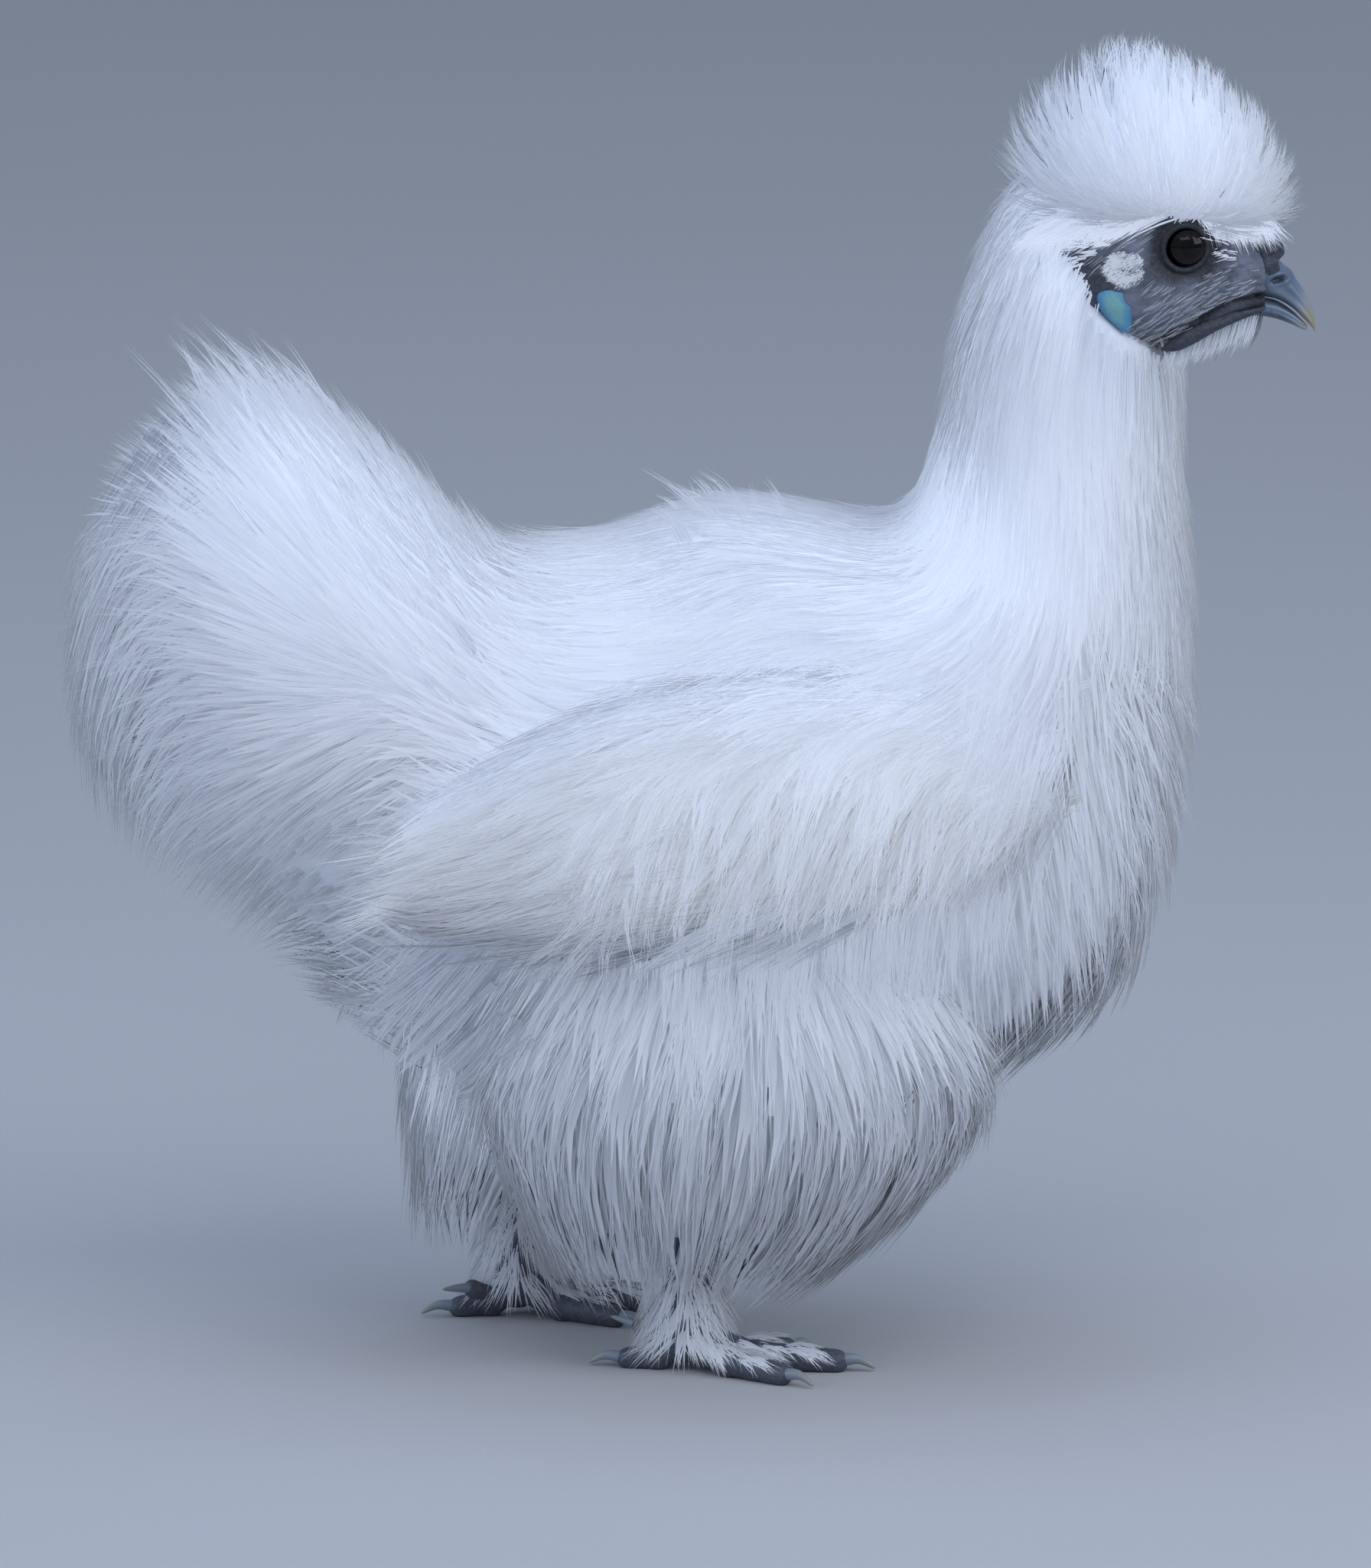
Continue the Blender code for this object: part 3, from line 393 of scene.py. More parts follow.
trunk = trunk_form()
head = upright_form(HEAD_OUTLINE)
wings = {name: wing_form(side) for name, side in SIDES}
thighs = {name: thigh_form(name, side) for name, side in SIDES}
body_shapes = [trunk.shell(0, TAIL_CORE_END, 60, 48), ball_shape(*CREST_CORE)]
for name, side in SIDES:
    body_shapes.append(wings[name].shell(0.6, 5.8, 24, 24))
    body_shapes.append(thighs[name].shell(0.0, 3.5, 20, 32))
body_skin = merged("skin", body_shapes, SKIN_VOXEL, 3)

down, tree, shader = new_material("white_down_over_skin")
coords = add_node(tree, "ShaderNodeTexCoord")
fluff = add_node(
    tree, "ShaderNodeTexNoise", links={"Vector": coords.outputs["Object"], "Scale": 700.0, "Detail": 4.0}
)
tint = add_node(
    tree, "ShaderNodeMix", {"data_type": "RGBA"},
    {"Factor": fluff.outputs["Fac"], "A": colour("#d9dfea"), "B": colour("#f2f4f9")},
)
tree.links.new(tint.outputs["Result"], shader.inputs["Base Color"])
shader.inputs["Roughness"].default_value = 0.95
body_skin.data.materials.append(down)

# The face. Bare slate skin round the eye, ear and bill, with lids, a browline, a soft cheek, fine wrinkles,
# a groove behind the gape and a dark fold that hangs under the jaw. It is the front of the same skin.
LID_CENTRE = np.array((120.0, 13.0, 272.9))
LID_RING = 5.55
LID_THICKNESS = 0.85
LID_TURN = math.radians(16)
LID_STEPS, LID_SIDES = 64, 14
GAPE_LINE = [(142, 259.6), (136, 259.6), (131, 258.6), (127, 256.6), (123.5, 254.2)]
JAW_FOLD = [
    (139.5, 3.6, 256.4, 0.8), (133, 6.0, 254.9, 1.25), (127, 7.6, 252.9, 1.7), (121.5, 8.8, 250.4, 2.1),
    (117.6, 9.0, 248.3, 1.6), (114.6, 8.4, 247.0, 0.5),
]
HEAD_RINGS = 170
HEAD_SIDES = 220


def ridge(distance, width):
    """A smooth bump, 1 at no distance."""
    return np.exp(-((distance / width) ** 2))


def ramp(value, start, end):
    """A smooth step from 0 at the start to 1 at the end."""
    t = np.clip((value - start) / (end - start), 0, 1)
    return t * t * (3 - 2 * t)


def gap_to_line(x, z, line):
    """Distance of points from a line of straight pieces, both seen from the side."""
    gaps = []
    for (ax, az), (bx, bz) in zip(line, line[1:]):
        t = np.clip(((x - ax) * (bx - ax) + (z - az) * (bz - az)) / ((bx - ax) ** 2 + (bz - az) ** 2), 0, 1)
        gaps.append(np.hypot(x - ax - t * (bx - ax), z - az - t * (bz - az)))
    return np.min(gaps, axis=0)


def curve_through(points, count):
    """Evenly placed rows on a smooth curve through rows of three values or more."""
    points = np.asarray(points, float)
    still = points[:, :3] * 0
    curve = Form(points[:, :3], still, still, points[:, 3] if points.shape[1] > 3 else 0.0)
    rows = curve.row(np.linspace(0, curve.last, count))
    return rows[:, :3], rows[:, 9]


def add_values(made, name, values):
    """Stores a value at each vertex of a mesh, or one value at all of them, for its material."""
    layer = made.data.attributes.new(name, "FLOAT", "POINT")
    filled = np.broadcast_to(np.ravel(values), (len(made.data.vertices),))
    layer.data.foreach_set("value", filled.astype(np.float32))


places, turns = net(0.1, 8, HEAD_RINGS, HEAD_SIDES)
face_points = head.at(places, turns)
face_out = head.outward(np.clip(places, 0.3, 7.7), turns)
face_x, face_z = face_points[..., 0], face_points[..., 2]
facing = np.clip(np.abs(face_out[..., 1]) * 2 - 0.5, 0, 1)
gape_gap = gap_to_line(face_x, face_z, GAPE_LINE)
fold_gap = gap_to_line(face_x, face_z, [(p[0], p[2]) for p in JAW_FOLD])
lift = 2.0 * ridge(np.hypot((face_x - 117.5) / 9, (face_z - 279.8) / 3.2), 1)
lift += 1.9 * ridge(np.hypot((face_x - 112) / 9, (face_z - 257.5) / 7), 1)
lift -= 1.0 * ridge(gape_gap, 0.55)
lift += 0.45 * ridge(gape_gap - 1.5, 0.7)
lift -= 0.5 * ridge(fold_gap - 3.2, 0.8)
lift += 0.22 * ripple(face_points.reshape(-1, 3), 4.2, 21).reshape(lift.shape)
lift += 0.13 * ripple(face_points.reshape(-1, 3) * (0.5, 1, 1.2), 1.9, 22).reshape(lift.shape)
face_points = face_points + face_out * (lift * facing)[..., None]

# Round each eye the face is eased onto the plane of the lids, then sinks under the eyeball inside them.
sides = np.sign(face_points[..., 1])
eye_gap = np.hypot(face_x - LID_CENTRE[0], face_z - LID_CENTRE[2])
lid_y = LID_CENTRE[1] + 0.3 - (face_x - LID_CENTRE[0]) * math.tan(LID_TURN)
ease = (1 - ramp(eye_gap, 6.0, 10.0)) * (facing > 0.3)
depth_y = np.abs(face_points[..., 1]) * (1 - ease) + lid_y * ease
depth_y += (0.2 * ridge(eye_gap - 8.0, 0.7) - 0.3 * ridge(eye_gap - 6.9, 0.6)) * (facing > 0.3)
depth_y -= 3.8 * ramp(eye_gap, 5.3, 4.3) * (facing > 0.3)
face_points[..., 1] = sides * depth_y
face = new_object("face", face_points.reshape(-1, 3), tube_faces(HEAD_RINGS, HEAD_SIDES))
paleness = 0.42 + 0.16 * ripple(face_points.reshape(-1, 3), 9.0, 23).reshape(lift.shape)
paleness += 0.3 * ridge(np.hypot((face_x - 116) / 11, (face_z - 259) / 5), 1)
paleness += 0.22 * ridge(np.hypot((face_x - 110.5) / 4.5, (face_z - 271.5) / 5), 1)
paleness += 0.25 * ridge(np.hypot((face_x - 133) / 5, (face_z - 262.5) / 2.6), 1)
paleness -= 0.85 * ridge(eye_gap - 5.6, 3.2) + 0.5 * ridge(gape_gap, 0.9) + 0.3 * ridge(fold_gap, 3.0)
paleness -= 0.4 * ridge(np.hypot((face_x - 98) / 3.4, (face_z - 264) / 9), 1)
add_values(face, "paleness", np.clip(paleness, 0, 1))

face_shapes = [face]
for name, side in SIDES:
    rim = []
    for j in range(LID_STEPS):
        turn = 2 * math.pi * j / LID_STEPS
        centre = LID_RING * np.array((math.cos(turn), 0, math.sin(turn)))
        for k in range(LID_SIDES):
            roll = 2 * math.pi * k / LID_SIDES
            spot = centre * (1 + LID_THICKNESS * math.cos(roll) / LID_RING)
            spot = spot + np.array((0, LID_THICKNESS * math.sin(roll), 0))
            x = spot[0] * math.cos(LID_TURN) + spot[1] * math.sin(LID_TURN)
            y = spot[1] * math.cos(LID_TURN) - spot[0] * math.sin(LID_TURN)
            rim.append((LID_CENTRE[0] + x, side * (LID_CENTRE[1] + y), LID_CENTRE[2] + spot[2]))
    faces = []
    for j in range(LID_STEPS):
        for k in range(LID_SIDES):
            corners = ((j, k), (j, k + 1), (j + 1, k + 1), (j + 1, k))
            faces.append(tuple((a % LID_STEPS) * LID_SIDES + b % LID_SIDES for a, b in corners))
    lid = new_object("lid", np.array(rim), faces)
    add_values(lid, "paleness", 0.0)
    path, radii = curve_through(JAW_FOLD, 40)
    fold_points, fold_faces = rod_shape(path * (1, side, 1), radii, 24)
    fold_points = fold_points + 0.18 * ripple(fold_points, 3.0, 24)[:, None] * (0, side, 0.6)
    fold = new_object("fold", fold_points, fold_faces)
    add_values(fold, "paleness", 0.15)
    face_shapes += [lid, fold]

slate, tree, shader = new_material("bare_slate_skin")
coords = add_node(tree, "ShaderNodeTexCoord")
shade = add_node(tree, "ShaderNodeAttribute", {"attribute_name": "paleness"})
grain = add_node(
    tree, "ShaderNodeTexNoise", links={"Vector": coords.outputs["Object"], "Scale": 900.0, "Detail": 5.0}
)
blend = add_node(
    tree, "ShaderNodeMath", {"operation": "MULTIPLY_ADD"},
    {0: grain.outputs["Fac"], 1: 0.4, 2: shade.outputs["Fac"]},
)
shift = add_node(tree, "ShaderNodeMath", {"operation": "SUBTRACT"}, {0: blend.outputs[0], 1: 0.2})
tint = add_node(
    tree, "ShaderNodeMix", {"data_type": "RGBA"},
    {"Factor": shift.outputs[0], "A": colour("#1b1e26"), "B": colour("#7d8496")},
)
creases = add_node(
    tree, "ShaderNodeTexVoronoi", links={"Vector": coords.outputs["Object"], "Scale": 1100.0}
)
bump = add_node(
    tree, "ShaderNodeBump",
    links={"Strength": 0.35, "Distance": 0.0004, "Height": creases.outputs["Distance"]},
)
tree.links.new(tint.outputs["Result"], shader.inputs["Base Color"])
tree.links.new(bump.outputs["Normal"], shader.inputs["Normal"])
shader.inputs["Roughness"].default_value = 0.55

# Shanks, feet and toes: five toes, as the breed has, with low scutes over their tops and soft pads below.
TOES = [
    (4, 37, 4.3, 2.9, 2.5), (36, 29, 3.9, 2.7, 2.3), (-30, 28, 3.9, 2.7, 2.3), (-172, 15, 3.6, 2.6, 2.2),
    (-140, 15, 3, 2.2, 8.5),
]
CLAW_LENGTH = 8.5
CLAW_RINGS, CLAW_SIDES = 22, 16
SCUTE_PITCH = 2.5
TOE_BEND = 0.55  # share of the way from the ankle to the knuckle
FLOOR_GAP = 0.00005  # metres between the soles and the floor
LEG_VOXEL = 0.62
leg_shapes = []
claws = []


def toe_path(name, side, toe):
    """The toe's path from the ankle to its end, and its direction over the floor."""
    turn, length, root, tip, height = toe
    x, y = FOOT_X[name], side * FOOT_Y
    ahead = np.array([math.cos(math.radians(turn)), side * math.sin(math.radians(turn)), 0.0])
    ankle = np.array([x, y, ANKLE_Z - 3.8])
    knuckle = np.array([x, y, (root + max(height, root)) / 2 - 0.4]) + ahead * length * 0.45
    return [ankle, knuckle, np.array([x, y, height]) + ahead * length], ahead


for name, side in SIDES:
    x, y = FOOT_X[name], side * FOOT_Y
    pieces = [rod_shape([(x, y, z) for z in np.linspace(8, 42, 30)], np.linspace(5.0, 6.0, 30), 28)]
    pieces.append(ball_shape((x, y, ANKLE_Z - 3.5), (6.0, 5.6, 6.4), 20, 28))
    for number, toe in enumerate(TOES, 1):
        turn, length, root, tip, height = toe
        path, ahead = toe_path(name, side, toe)
        bend = path[0] * (1 - TOE_BEND) + path[1] * TOE_BEND
        spine, _ = curve_through([path[0], bend, *path[1:]], 60)
        run = np.linspace(0, length, 60)
        radii = np.interp(run / length, (0, 0.45, 1), (root, (root + tip) / 2 + 0.3, tip))
        radii = radii * (1 + 0.05 * np.abs(np.sin(math.pi * run / SCUTE_PITCH)) - 0.02)
        pieces.append(rod_shape(spine, radii, 28))
        end = path[-1] + unit(path[-1] - path[1]) * 0.2
        pieces.append(ball_shape(path[-1] - ahead * 0.6, (tip * 1.02,) * 3, 14, 20))
        pieces.append(ball_shape(path[1] - UP * 0.3, np.full(3, (root + tip) / 2 + 0.45), 14, 20))
        claw_tip = end + ahead * CLAW_LENGTH + UP
        if height < root:
            claw_tip[2] = 1.0
        claw_middle = end + ahead * CLAW_LENGTH * 0.5 + UP * 0.7
        claw_path, _ = curve_through([end - ahead * 1.2, claw_middle, claw_tip], CLAW_RINGS)
        claw_radii = tip * 0.7 * np.linspace(1, 0.07, CLAW_RINGS) ** 0.75
        claws.append((f"claw_{name}_{number}", *rod_shape(claw_path, claw_radii, CLAW_SIDES)))
    leg = merged("leg", pieces, LEG_VOXEL, 2)
    heights = np.empty(len(leg.data.vertices) * 3, np.float32)
    leg.data.vertices.foreach_get("co", heights)
    heights = heights.reshape(-1, 3)
    heights[:, 2] = np.maximum(heights[:, 2], FLOOR_GAP)
    leg.data.vertices.foreach_set("co", heights.ravel())
    add_values(leg, "paleness", 0.3)
    leg_shapes.append(leg)

for shape in face_shapes + leg_shapes:
    shape.data.materials.append(slate)
add_values(body_skin, "paleness", 0.0)
parts_of_skin = [body_skin, *face_shapes, *leg_shapes]
with bpy.context.temp_override(active_object=body_skin, selected_editable_objects=parts_of_skin):
    bpy.ops.object.join()
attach(body_skin, "root")
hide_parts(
    *("head", "neck", "torso", "tail", "crest", "wattle_left", "wattle_right"),
    *(f"{part}_{name}" for part in ("wing", "thigh", "shank", "foot") for name, _ in SIDES),
)


def add_piece(name, points, faces, material, nodes):
    """A piece of its own that takes the place of solids."""
    made = new_object(name, points, faces)
    made.data.materials.append(material)
    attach(made, "root")
    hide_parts(*nodes)
    return made


# The comb: a silkie hen has only a small dark wrinkled cushion over the base of her bill.
COMB_VOXEL = 0.35
comb_shapes = []
for centre, radii in (
    ((139.2, 0, 270.0), (4.8, 4.6, 3.4)), ((137.8, 2.7, 271.6), (2.4, 2.2, 2.0)),
    ((137.8, -2.7, 271.6), (2.4, 2.2, 2.0)), ((141.8, 0, 270.2), (2.4, 2.6, 2.0)),
    ((140.2, 3.6, 266.4), (2.8, 1.9, 3.0)), ((140.2, -3.6, 266.4), (2.8, 1.9, 3.0)),
):
    points, faces = ball_shape(centre, radii, 20, 28)
    points = np.array(centre) + (points - centre) * (1 + 0.1 * ripple(points, 2.4, 25)[:, None])
    comb_shapes.append((points, faces))
comb = merged("comb_cushion", comb_shapes, COMB_VOXEL, 2)
comb.data.materials.append(slate)
add_values(comb, "paleness", 0.16)
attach(comb, "root")
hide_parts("comb")

# The eyes: dark wet balls, near-black all over, with a very dark brown iris round the pupil.
EYE_RADIUS = 6.8
eye_paint, tree, shader = new_material("wet_dark_eye")
gaze = add_node(tree, "ShaderNodeAttribute", {"attribute_name": "gaze"})
iris = add_node(tree, "ShaderNodeValToRGB", links={"Fac": gaze.outputs["Fac"]})
stops = iris.color_ramp.elements
stops.remove(stops[1])
stops[0].position, stops[0].color = 0.36, colour("#020203")
for position, tone in ((0.42, "#120c0a"), (0.66, "#0b0808"), (0.74, "#040405")):
    stops.new(position).color = colour(tone)
tree.links.new(iris.outputs["Color"], shader.inputs["Base Color"])
shader.inputs["Roughness"].default_value = 0.08
shader.inputs["Specular IOR Level"].default_value = 0.26
for name, side in SIDES:
    centre = EYE_CENTRE * (1, side, 1)
    points, faces = ball_shape(centre, (EYE_RADIUS,) * 3, 40, 48)
    eye = add_piece(f"eyeball_{name}", points, faces, eye_paint, [f"eye_{name}"])
    look = np.array((math.sin(LID_TURN), side * math.cos(LID_TURN), 0.0))
    add_values(eye, "gaze", np.arccos(np.clip(unit(points - centre) @ look, -1, 1)))

# The bill: short and stout, blue-grey horn with a pale cutting edge, and straw-coloured at the hooked tip.
UPPER_BILL = [
    (138.6, 269.4, 258.6, 5.3), (142.5, 267.6, 257.8, 4.9), (146.2, 263.7, 255.6, 4.0),
    (149.2, 259.5, 252.7, 2.8), (151.0, 255.6, 250.7, 1.6), (151.7, 251.8, 249.5, 0.5),
]
LOWER_BILL = [
    (138.6, 258.3, 253.8, 4.6), (142.3, 257.4, 253.0, 4.0), (145.8, 255.2, 251.7, 3.0),
    (148.2, 252.9, 250.5, 1.9), (149.7, 251.3, 250.1, 0.8),
]
NOSTRIL = (142.6, 263.4)
BILL_RINGS, BILL_SIDES = 80, 56
bill_faces = tube_faces(BILL_RINGS, BILL_SIDES)
horn, tree, shader = new_material("blue_grey_horn")
coords = add_node(tree, "ShaderNodeTexCoord")
shade = add_node(tree, "ShaderNodeAttribute", {"attribute_name": "straw"})
streaks = add_node(
    tree, "ShaderNodeTexNoise", links={"Vector": coords.outputs["Object"], "Scale": 500.0, "Detail": 3.0}
)
blend = add_node(
    tree, "ShaderNodeMath", {"operation": "MULTIPLY_ADD"},
    {0: streaks.outputs["Fac"], 1: 0.2, 2: shade.outputs["Fac"]},
)
tones = add_node(tree, "ShaderNodeValToRGB", links={"Fac": blend.outputs[0]})
stops = tones.color_ramp.elements
stops.remove(stops[1])
stops[0].position, stops[0].color = 0.02, colour("#1b2029")
for position, tone in ((0.22, "#5a6a7d"), (0.6, "#84909c"), (0.95, "#9f9982")):
    stops.new(position).color = colour(tone)
tree.links.new(tones.outputs["Color"], shader.inputs["Base Color"])
shader.inputs["Roughness"].default_value = 0.32

for name, outline, node in (("upper", UPPER_BILL, "bill_upper"), ("lower", LOWER_BILL, "bill_lower")):
    form = upright_form(outline)
    places, turns = net(0, form.last, BILL_RINGS, BILL_SIDES)
    points, out = form.at(places, turns), form.outward(places, turns)
    x, z = points[..., 0], points[..., 2]
    fold = np.abs(((turns + math.pi) % (2 * math.pi)) - math.pi)
    edge_turn = 2.05 if name == "upper" else 1.05
    edge = ridge(fold - edge_turn, 0.22)
    lift = 0.28 * edge - 0.25 * ridge(fold - (edge_turn - 0.4 if name == "upper" else edge_turn + 0.4), 0.22)
    straw = 0.14 + 0.8 * ramp(x + (262 - z) * 0.25, 146.0, 155.0) + 0.24 * edge
    if name == "upper":
        hole = np.hypot((x - NOSTRIL[0]) / 1.7, (z - NOSTRIL[1] - (x - NOSTRIL[0]) * 0.2) / 0.75)
        lift += (0.45 * ridge(hole - 1.8, 0.6) - 1.3 * ramp(hole, 1.15, 0.5)) * (fold < 2.2)
        # The nostril's hollow is painted dark, a painted shade inside the opening.
        straw -= 0.6 * ramp(hole, 1.5, 0.6)
    else:
        straw -= 0.15 * ramp(fold, 1.4, 2.4)
    points = points + out * (lift * ramp(x, 139, 141) * ramp(form.last - places, 0.0, 0.8))[..., None]
    piece = add_piece(f"{name}_bill", points.reshape(-1, 3), bill_faces, horn, [node])
    add_values(piece, "straw", np.clip(straw, 0, 1))

for name, points, faces in claws:
    piece = add_piece(f"horn_{name}", points, faces, horn, [name])
    add_values(piece, "straw", np.repeat(np.linspace(0.3, 0.8, CLAW_RINGS), CLAW_SIDES))

# The earlobes: turquoise teardrops of soft skin behind the cheek, with a paler middle and a dark edge.
lobe_skin, tree, shader = new_material("turquoise_earlobe_skin")
coords = add_node(tree, "ShaderNodeTexCoord")
shade = add_node(tree, "ShaderNodeAttribute", {"attribute_name": "glow"})
mottle = add_node(
    tree, "ShaderNodeTexNoise", links={"Vector": coords.outputs["Object"], "Scale": 450.0, "Detail": 4.0}
)
blend = add_node(
    tree, "ShaderNodeMath", {"operation": "MULTIPLY_ADD"},
    {0: mottle.outputs["Fac"], 1: 0.35, 2: shade.outputs["Fac"]},
)
tones = add_node(tree, "ShaderNodeValToRGB", links={"Fac": blend.outputs[0]})
stops = tones.color_ramp.elements
stops.remove(stops[1])
stops[0].position, stops[0].color = 0.2, colour("#27476e")
for position, tone in ((0.5, "#457fa6"), (0.85, "#5596b3"), (1.15, "#74aaab")):
    stops.new(position).color = colour(tone)
pits = add_node(tree, "ShaderNodeTexVoronoi", links={"Vector": coords.outputs["Object"], "Scale": 900.0})
bump = add_node(
    tree, "ShaderNodeBump", links={"Strength": 0.3, "Distance": 0.0003, "Height": pits.outputs["Distance"]}
)
tree.links.new(tones.outputs["Color"], shader.inputs["Base Color"])
tree.links.new(bump.outputs["Normal"], shader.inputs["Normal"])
shader.inputs["Roughness"].default_value = 0.5
LOBE_CENTRE = (102.9, 15.0, 258.6)
LOBE_HALF_WIDTH = 4.4
LOBE_HALF_HEIGHT = 6.6
LOBE_TOP = (103, 262)
for name, side in SIDES:
    points, faces = ball_shape((0, 0, 0), (1, 1, 1), 48, 56)
    drop = (1 - points[:, 2]) / 2  # 0 at the top and 1 at the point
    width = LOBE_HALF_WIDTH * np.interp(drop, (0, 0.3, 0.6, 0.85, 1), (1.0, 1.08, 0.92, 0.62, 0.35))
    glow = ridge(np.hypot(points[:, 0] + 0.1, points[:, 2] * 0.8), 0.75)
    glow = glow - 0.5 * ramp(np.abs(points[:, 0]), 0.6, 1.0)
    x = LOBE_CENTRE[0] + points[:, 0] * width + 3.4 * drop**2.2
    y = LOBE_CENTRE[1] + points[:, 1] * np.interp(drop, (0, 0.5, 1), (1.6, 2.2, 1.1)) - 0.8 * drop
    z = LOBE_CENTRE[2] + points[:, 2] * LOBE_HALF_HEIGHT
    points = columns(x, side * y, z)
    lobe = add_piece(f"earlobe_{name}", points, faces, lobe_skin, [f"lobe_{name}"])
    add_values(lobe, "glow", 0.35 + 0.6 * glow)


# The plumage. Silkie feathers have no hooks between their barbs, so each falls into soft hair-like strands.
# A tuft stands for one feather: a bent spine from the skin to the outline of the coat, with strands spread
# round it. Every strand is a thin closed solid of three-sided rings that tapers to a point.
rng = np.random.default_rng(1874)
GOLDEN = (math.sqrt(5) - 1) / 2
WHITE_TIP = "#f6f8fc"
# Strand roots are greyer than tips: painted shade deep in the coat, which casts no shadow of its own.
DEPTH_SHADED_WHITE = "#dce1eb"
CREAM = "#c9c2b4"
OWN_SHARE = 0.32  # of a strand's shading that follows its own roundness, and the rest follows the body's
PATCH = 0.003  # side of a tuft's patch on the unwrap of the skin
FAN_SINK = 6.0  # how much deeper than their ray the roots of fanned tufts lie
TRIANGLE_LIMIT = 199000

plumage, tree, shader = new_material("silky_white_plumage")
strand = add_node(tree, "ShaderNodeAttribute", {"attribute_name": "strand"})
parts = add_node(tree, "ShaderNodeSeparateXYZ", links={"Vector": strand.outputs["Vector"]})
# painted shade: each strand darkens from its tip to its root
along = add_node(
    tree, "ShaderNodeMix", {"data_type": "RGBA"},
    {"Factor": parts.outputs["X"], "A": colour(DEPTH_SHADED_WHITE), "B": colour(WHITE_TIP)},
)
warmth = add_node(
    tree, "ShaderNodeMix", {"data_type": "RGBA"},
    {"Factor": parts.outputs["Z"], "A": along.outputs["Result"], "B": colour(CREAM)},
)
dim = add_node(
    tree, "ShaderNodeMapRange", {"clamp": False},
    {"Value": parts.outputs["Y"], "To Min": 0.92, "To Max": 1.0},
)
shade = add_node(
    tree, "ShaderNodeVectorMath", {"operation": "MULTIPLY"},
    {0: warmth.outputs["Result"], 1: dim.outputs["Result"]},
)
tree.links.new(shade.outputs["Vector"], shader.inputs["Base Color"])
shader.inputs["Roughness"].default_value = 0.62
shader.inputs["Specular IOR Level"].default_value = 0.25
shader.inputs["Sheen Weight"].default_value = 0.25
shader.inputs["Sheen Roughness"].default_value = 0.5


def even_spots(form, places, turns, count, crowd=0.0):
    """Places and turns spread evenly over the area of part of a form, or crowded towards its far end."""
    grid, fans = np.meshgrid(np.linspace(*places, 60), np.linspace(*turns, 24), indexing="ij")
    ahead = form.at(grid + 0.05, fans) - form.at(grid - 0.05, fans)
    across = form.at(grid, fans + 0.05) - form.at(grid, fans - 0.05)
    area = np.linalg.norm(np.cross(ahead, across), axis=-1).mean(axis=1)
    area = area * (1 + crowd * np.linspace(0, 1, 60) ** 3)
    total = np.concatenate([[0], np.cumsum((area[1:] + area[:-1]) / 2)])
    steps = (np.arange(count) + rng.uniform(0, 1, count)) / count
    place = np.interp(steps * total[-1], total, grid[:, 0])
    share = (np.arange(count) * GOLDEN + rng.uniform(-0.5, 0.5, count) / math.sqrt(count)) % 1.0
    return place, turns[0] + (turns[1] - turns[0]) * share


def tuft_set(root, knee, tip, out, place, turn):
    """Tufts, one to a row: roots, middles, tips, the way out of the coat, and the homes of their patches."""
    return {"root": root, "knee": knee, "tip": tip, "out": out, "place": place, "turn": turn}


def gathered(groups):
    """Groups of tufts as one set."""
    return {key: np.concatenate([group[key] for group in groups]) for key in groups[0]}


def lying_tufts(form, place, turn, length, depth, over, lean=0.0, hook=0.0, heart=None, fan=0.0):
    """Tufts whose tips are at the given places, and that lie along the form behind them.

    lean turns a tuft round the form on its way to the tip, and hook makes it turn late. fan blends that with
    tufts that spring from a heart inside the form, so that they stand out at its edge.
    """
    slope = np.linalg.norm(form.at(place + 0.1, turn) - form.at(place - 0.1, turn), axis=-1) / 0.2
    step = length / np.maximum(slope, 2.0)
    tip = form.at(place, turn + lean, -over)
    knee = form.before(place - step * (0.5 - hook * 0.4), turn + lean * (0.4 - hook * 0.2), depth * 0.1)
    root = form.before(place - step, turn, depth)
    out = form.outward(np.clip(place, 0.3, form.last - 0.3), turn)
    if heart is not None:
        fan = np.broadcast_to(np.asarray(fan, float), place.shape)[:, None]
        source = np.array(heart) * np.array((1, 0, 1)) + tip * np.array((0, heart[1], 0))
        ray = unit(tip - source)
        reach = np.minimum(length, np.linalg.norm(tip - source, axis=-1) * 0.9)[:, None]
        knee = knee * (1 - fan) + (tip - ray * reach * 0.45) * fan
        root = root * (1 - fan) + (tip - ray * reach - out * FAN_SINK) * fan
    return tuft_set(root, knee, tip, out, place, turn)


def combed(tufts, course, share, sink=9.0):
    """Tufts with their tips in place, turned by a share from their own lie towards a course."""
    share = np.broadcast_to(np.asarray(share, float), tufts["place"].shape)[:, None]
    reach = np.linalg.norm(tufts["tip"] - tufts["root"], axis=1, keepdims=True)
    out = tufts["out"]
    aim = (tufts["tip"] - tufts["root"]) / reach * (1 - share) + unit(np.array(course, float)) * share
    aim = unit(aim - np.sum(aim * out, axis=1, keepdims=True) * out)
    root = tufts["tip"] - aim * reach - out * (sink + reach**2 / 130)
    knee = tufts["tip"] - aim * reach * 0.48 - out * (1.0 + reach**2 / 520)
    return {**tufts, "root": root, "knee": knee}


def chosen(tufts, keep):
    """The tufts that pass a test."""
    return {key: values[keep] for key, values in tufts.items()}


def hidden(points, margin=0.82):
    """True for points well inside a wing or thigh."""
    covered = np.zeros(len(points), bool)
    for name, _ in SIDES:
        covered |= (wings[name].ratio(points, 0) < margin) | (thighs[name].ratio(points, 2) < margin)
    return covered


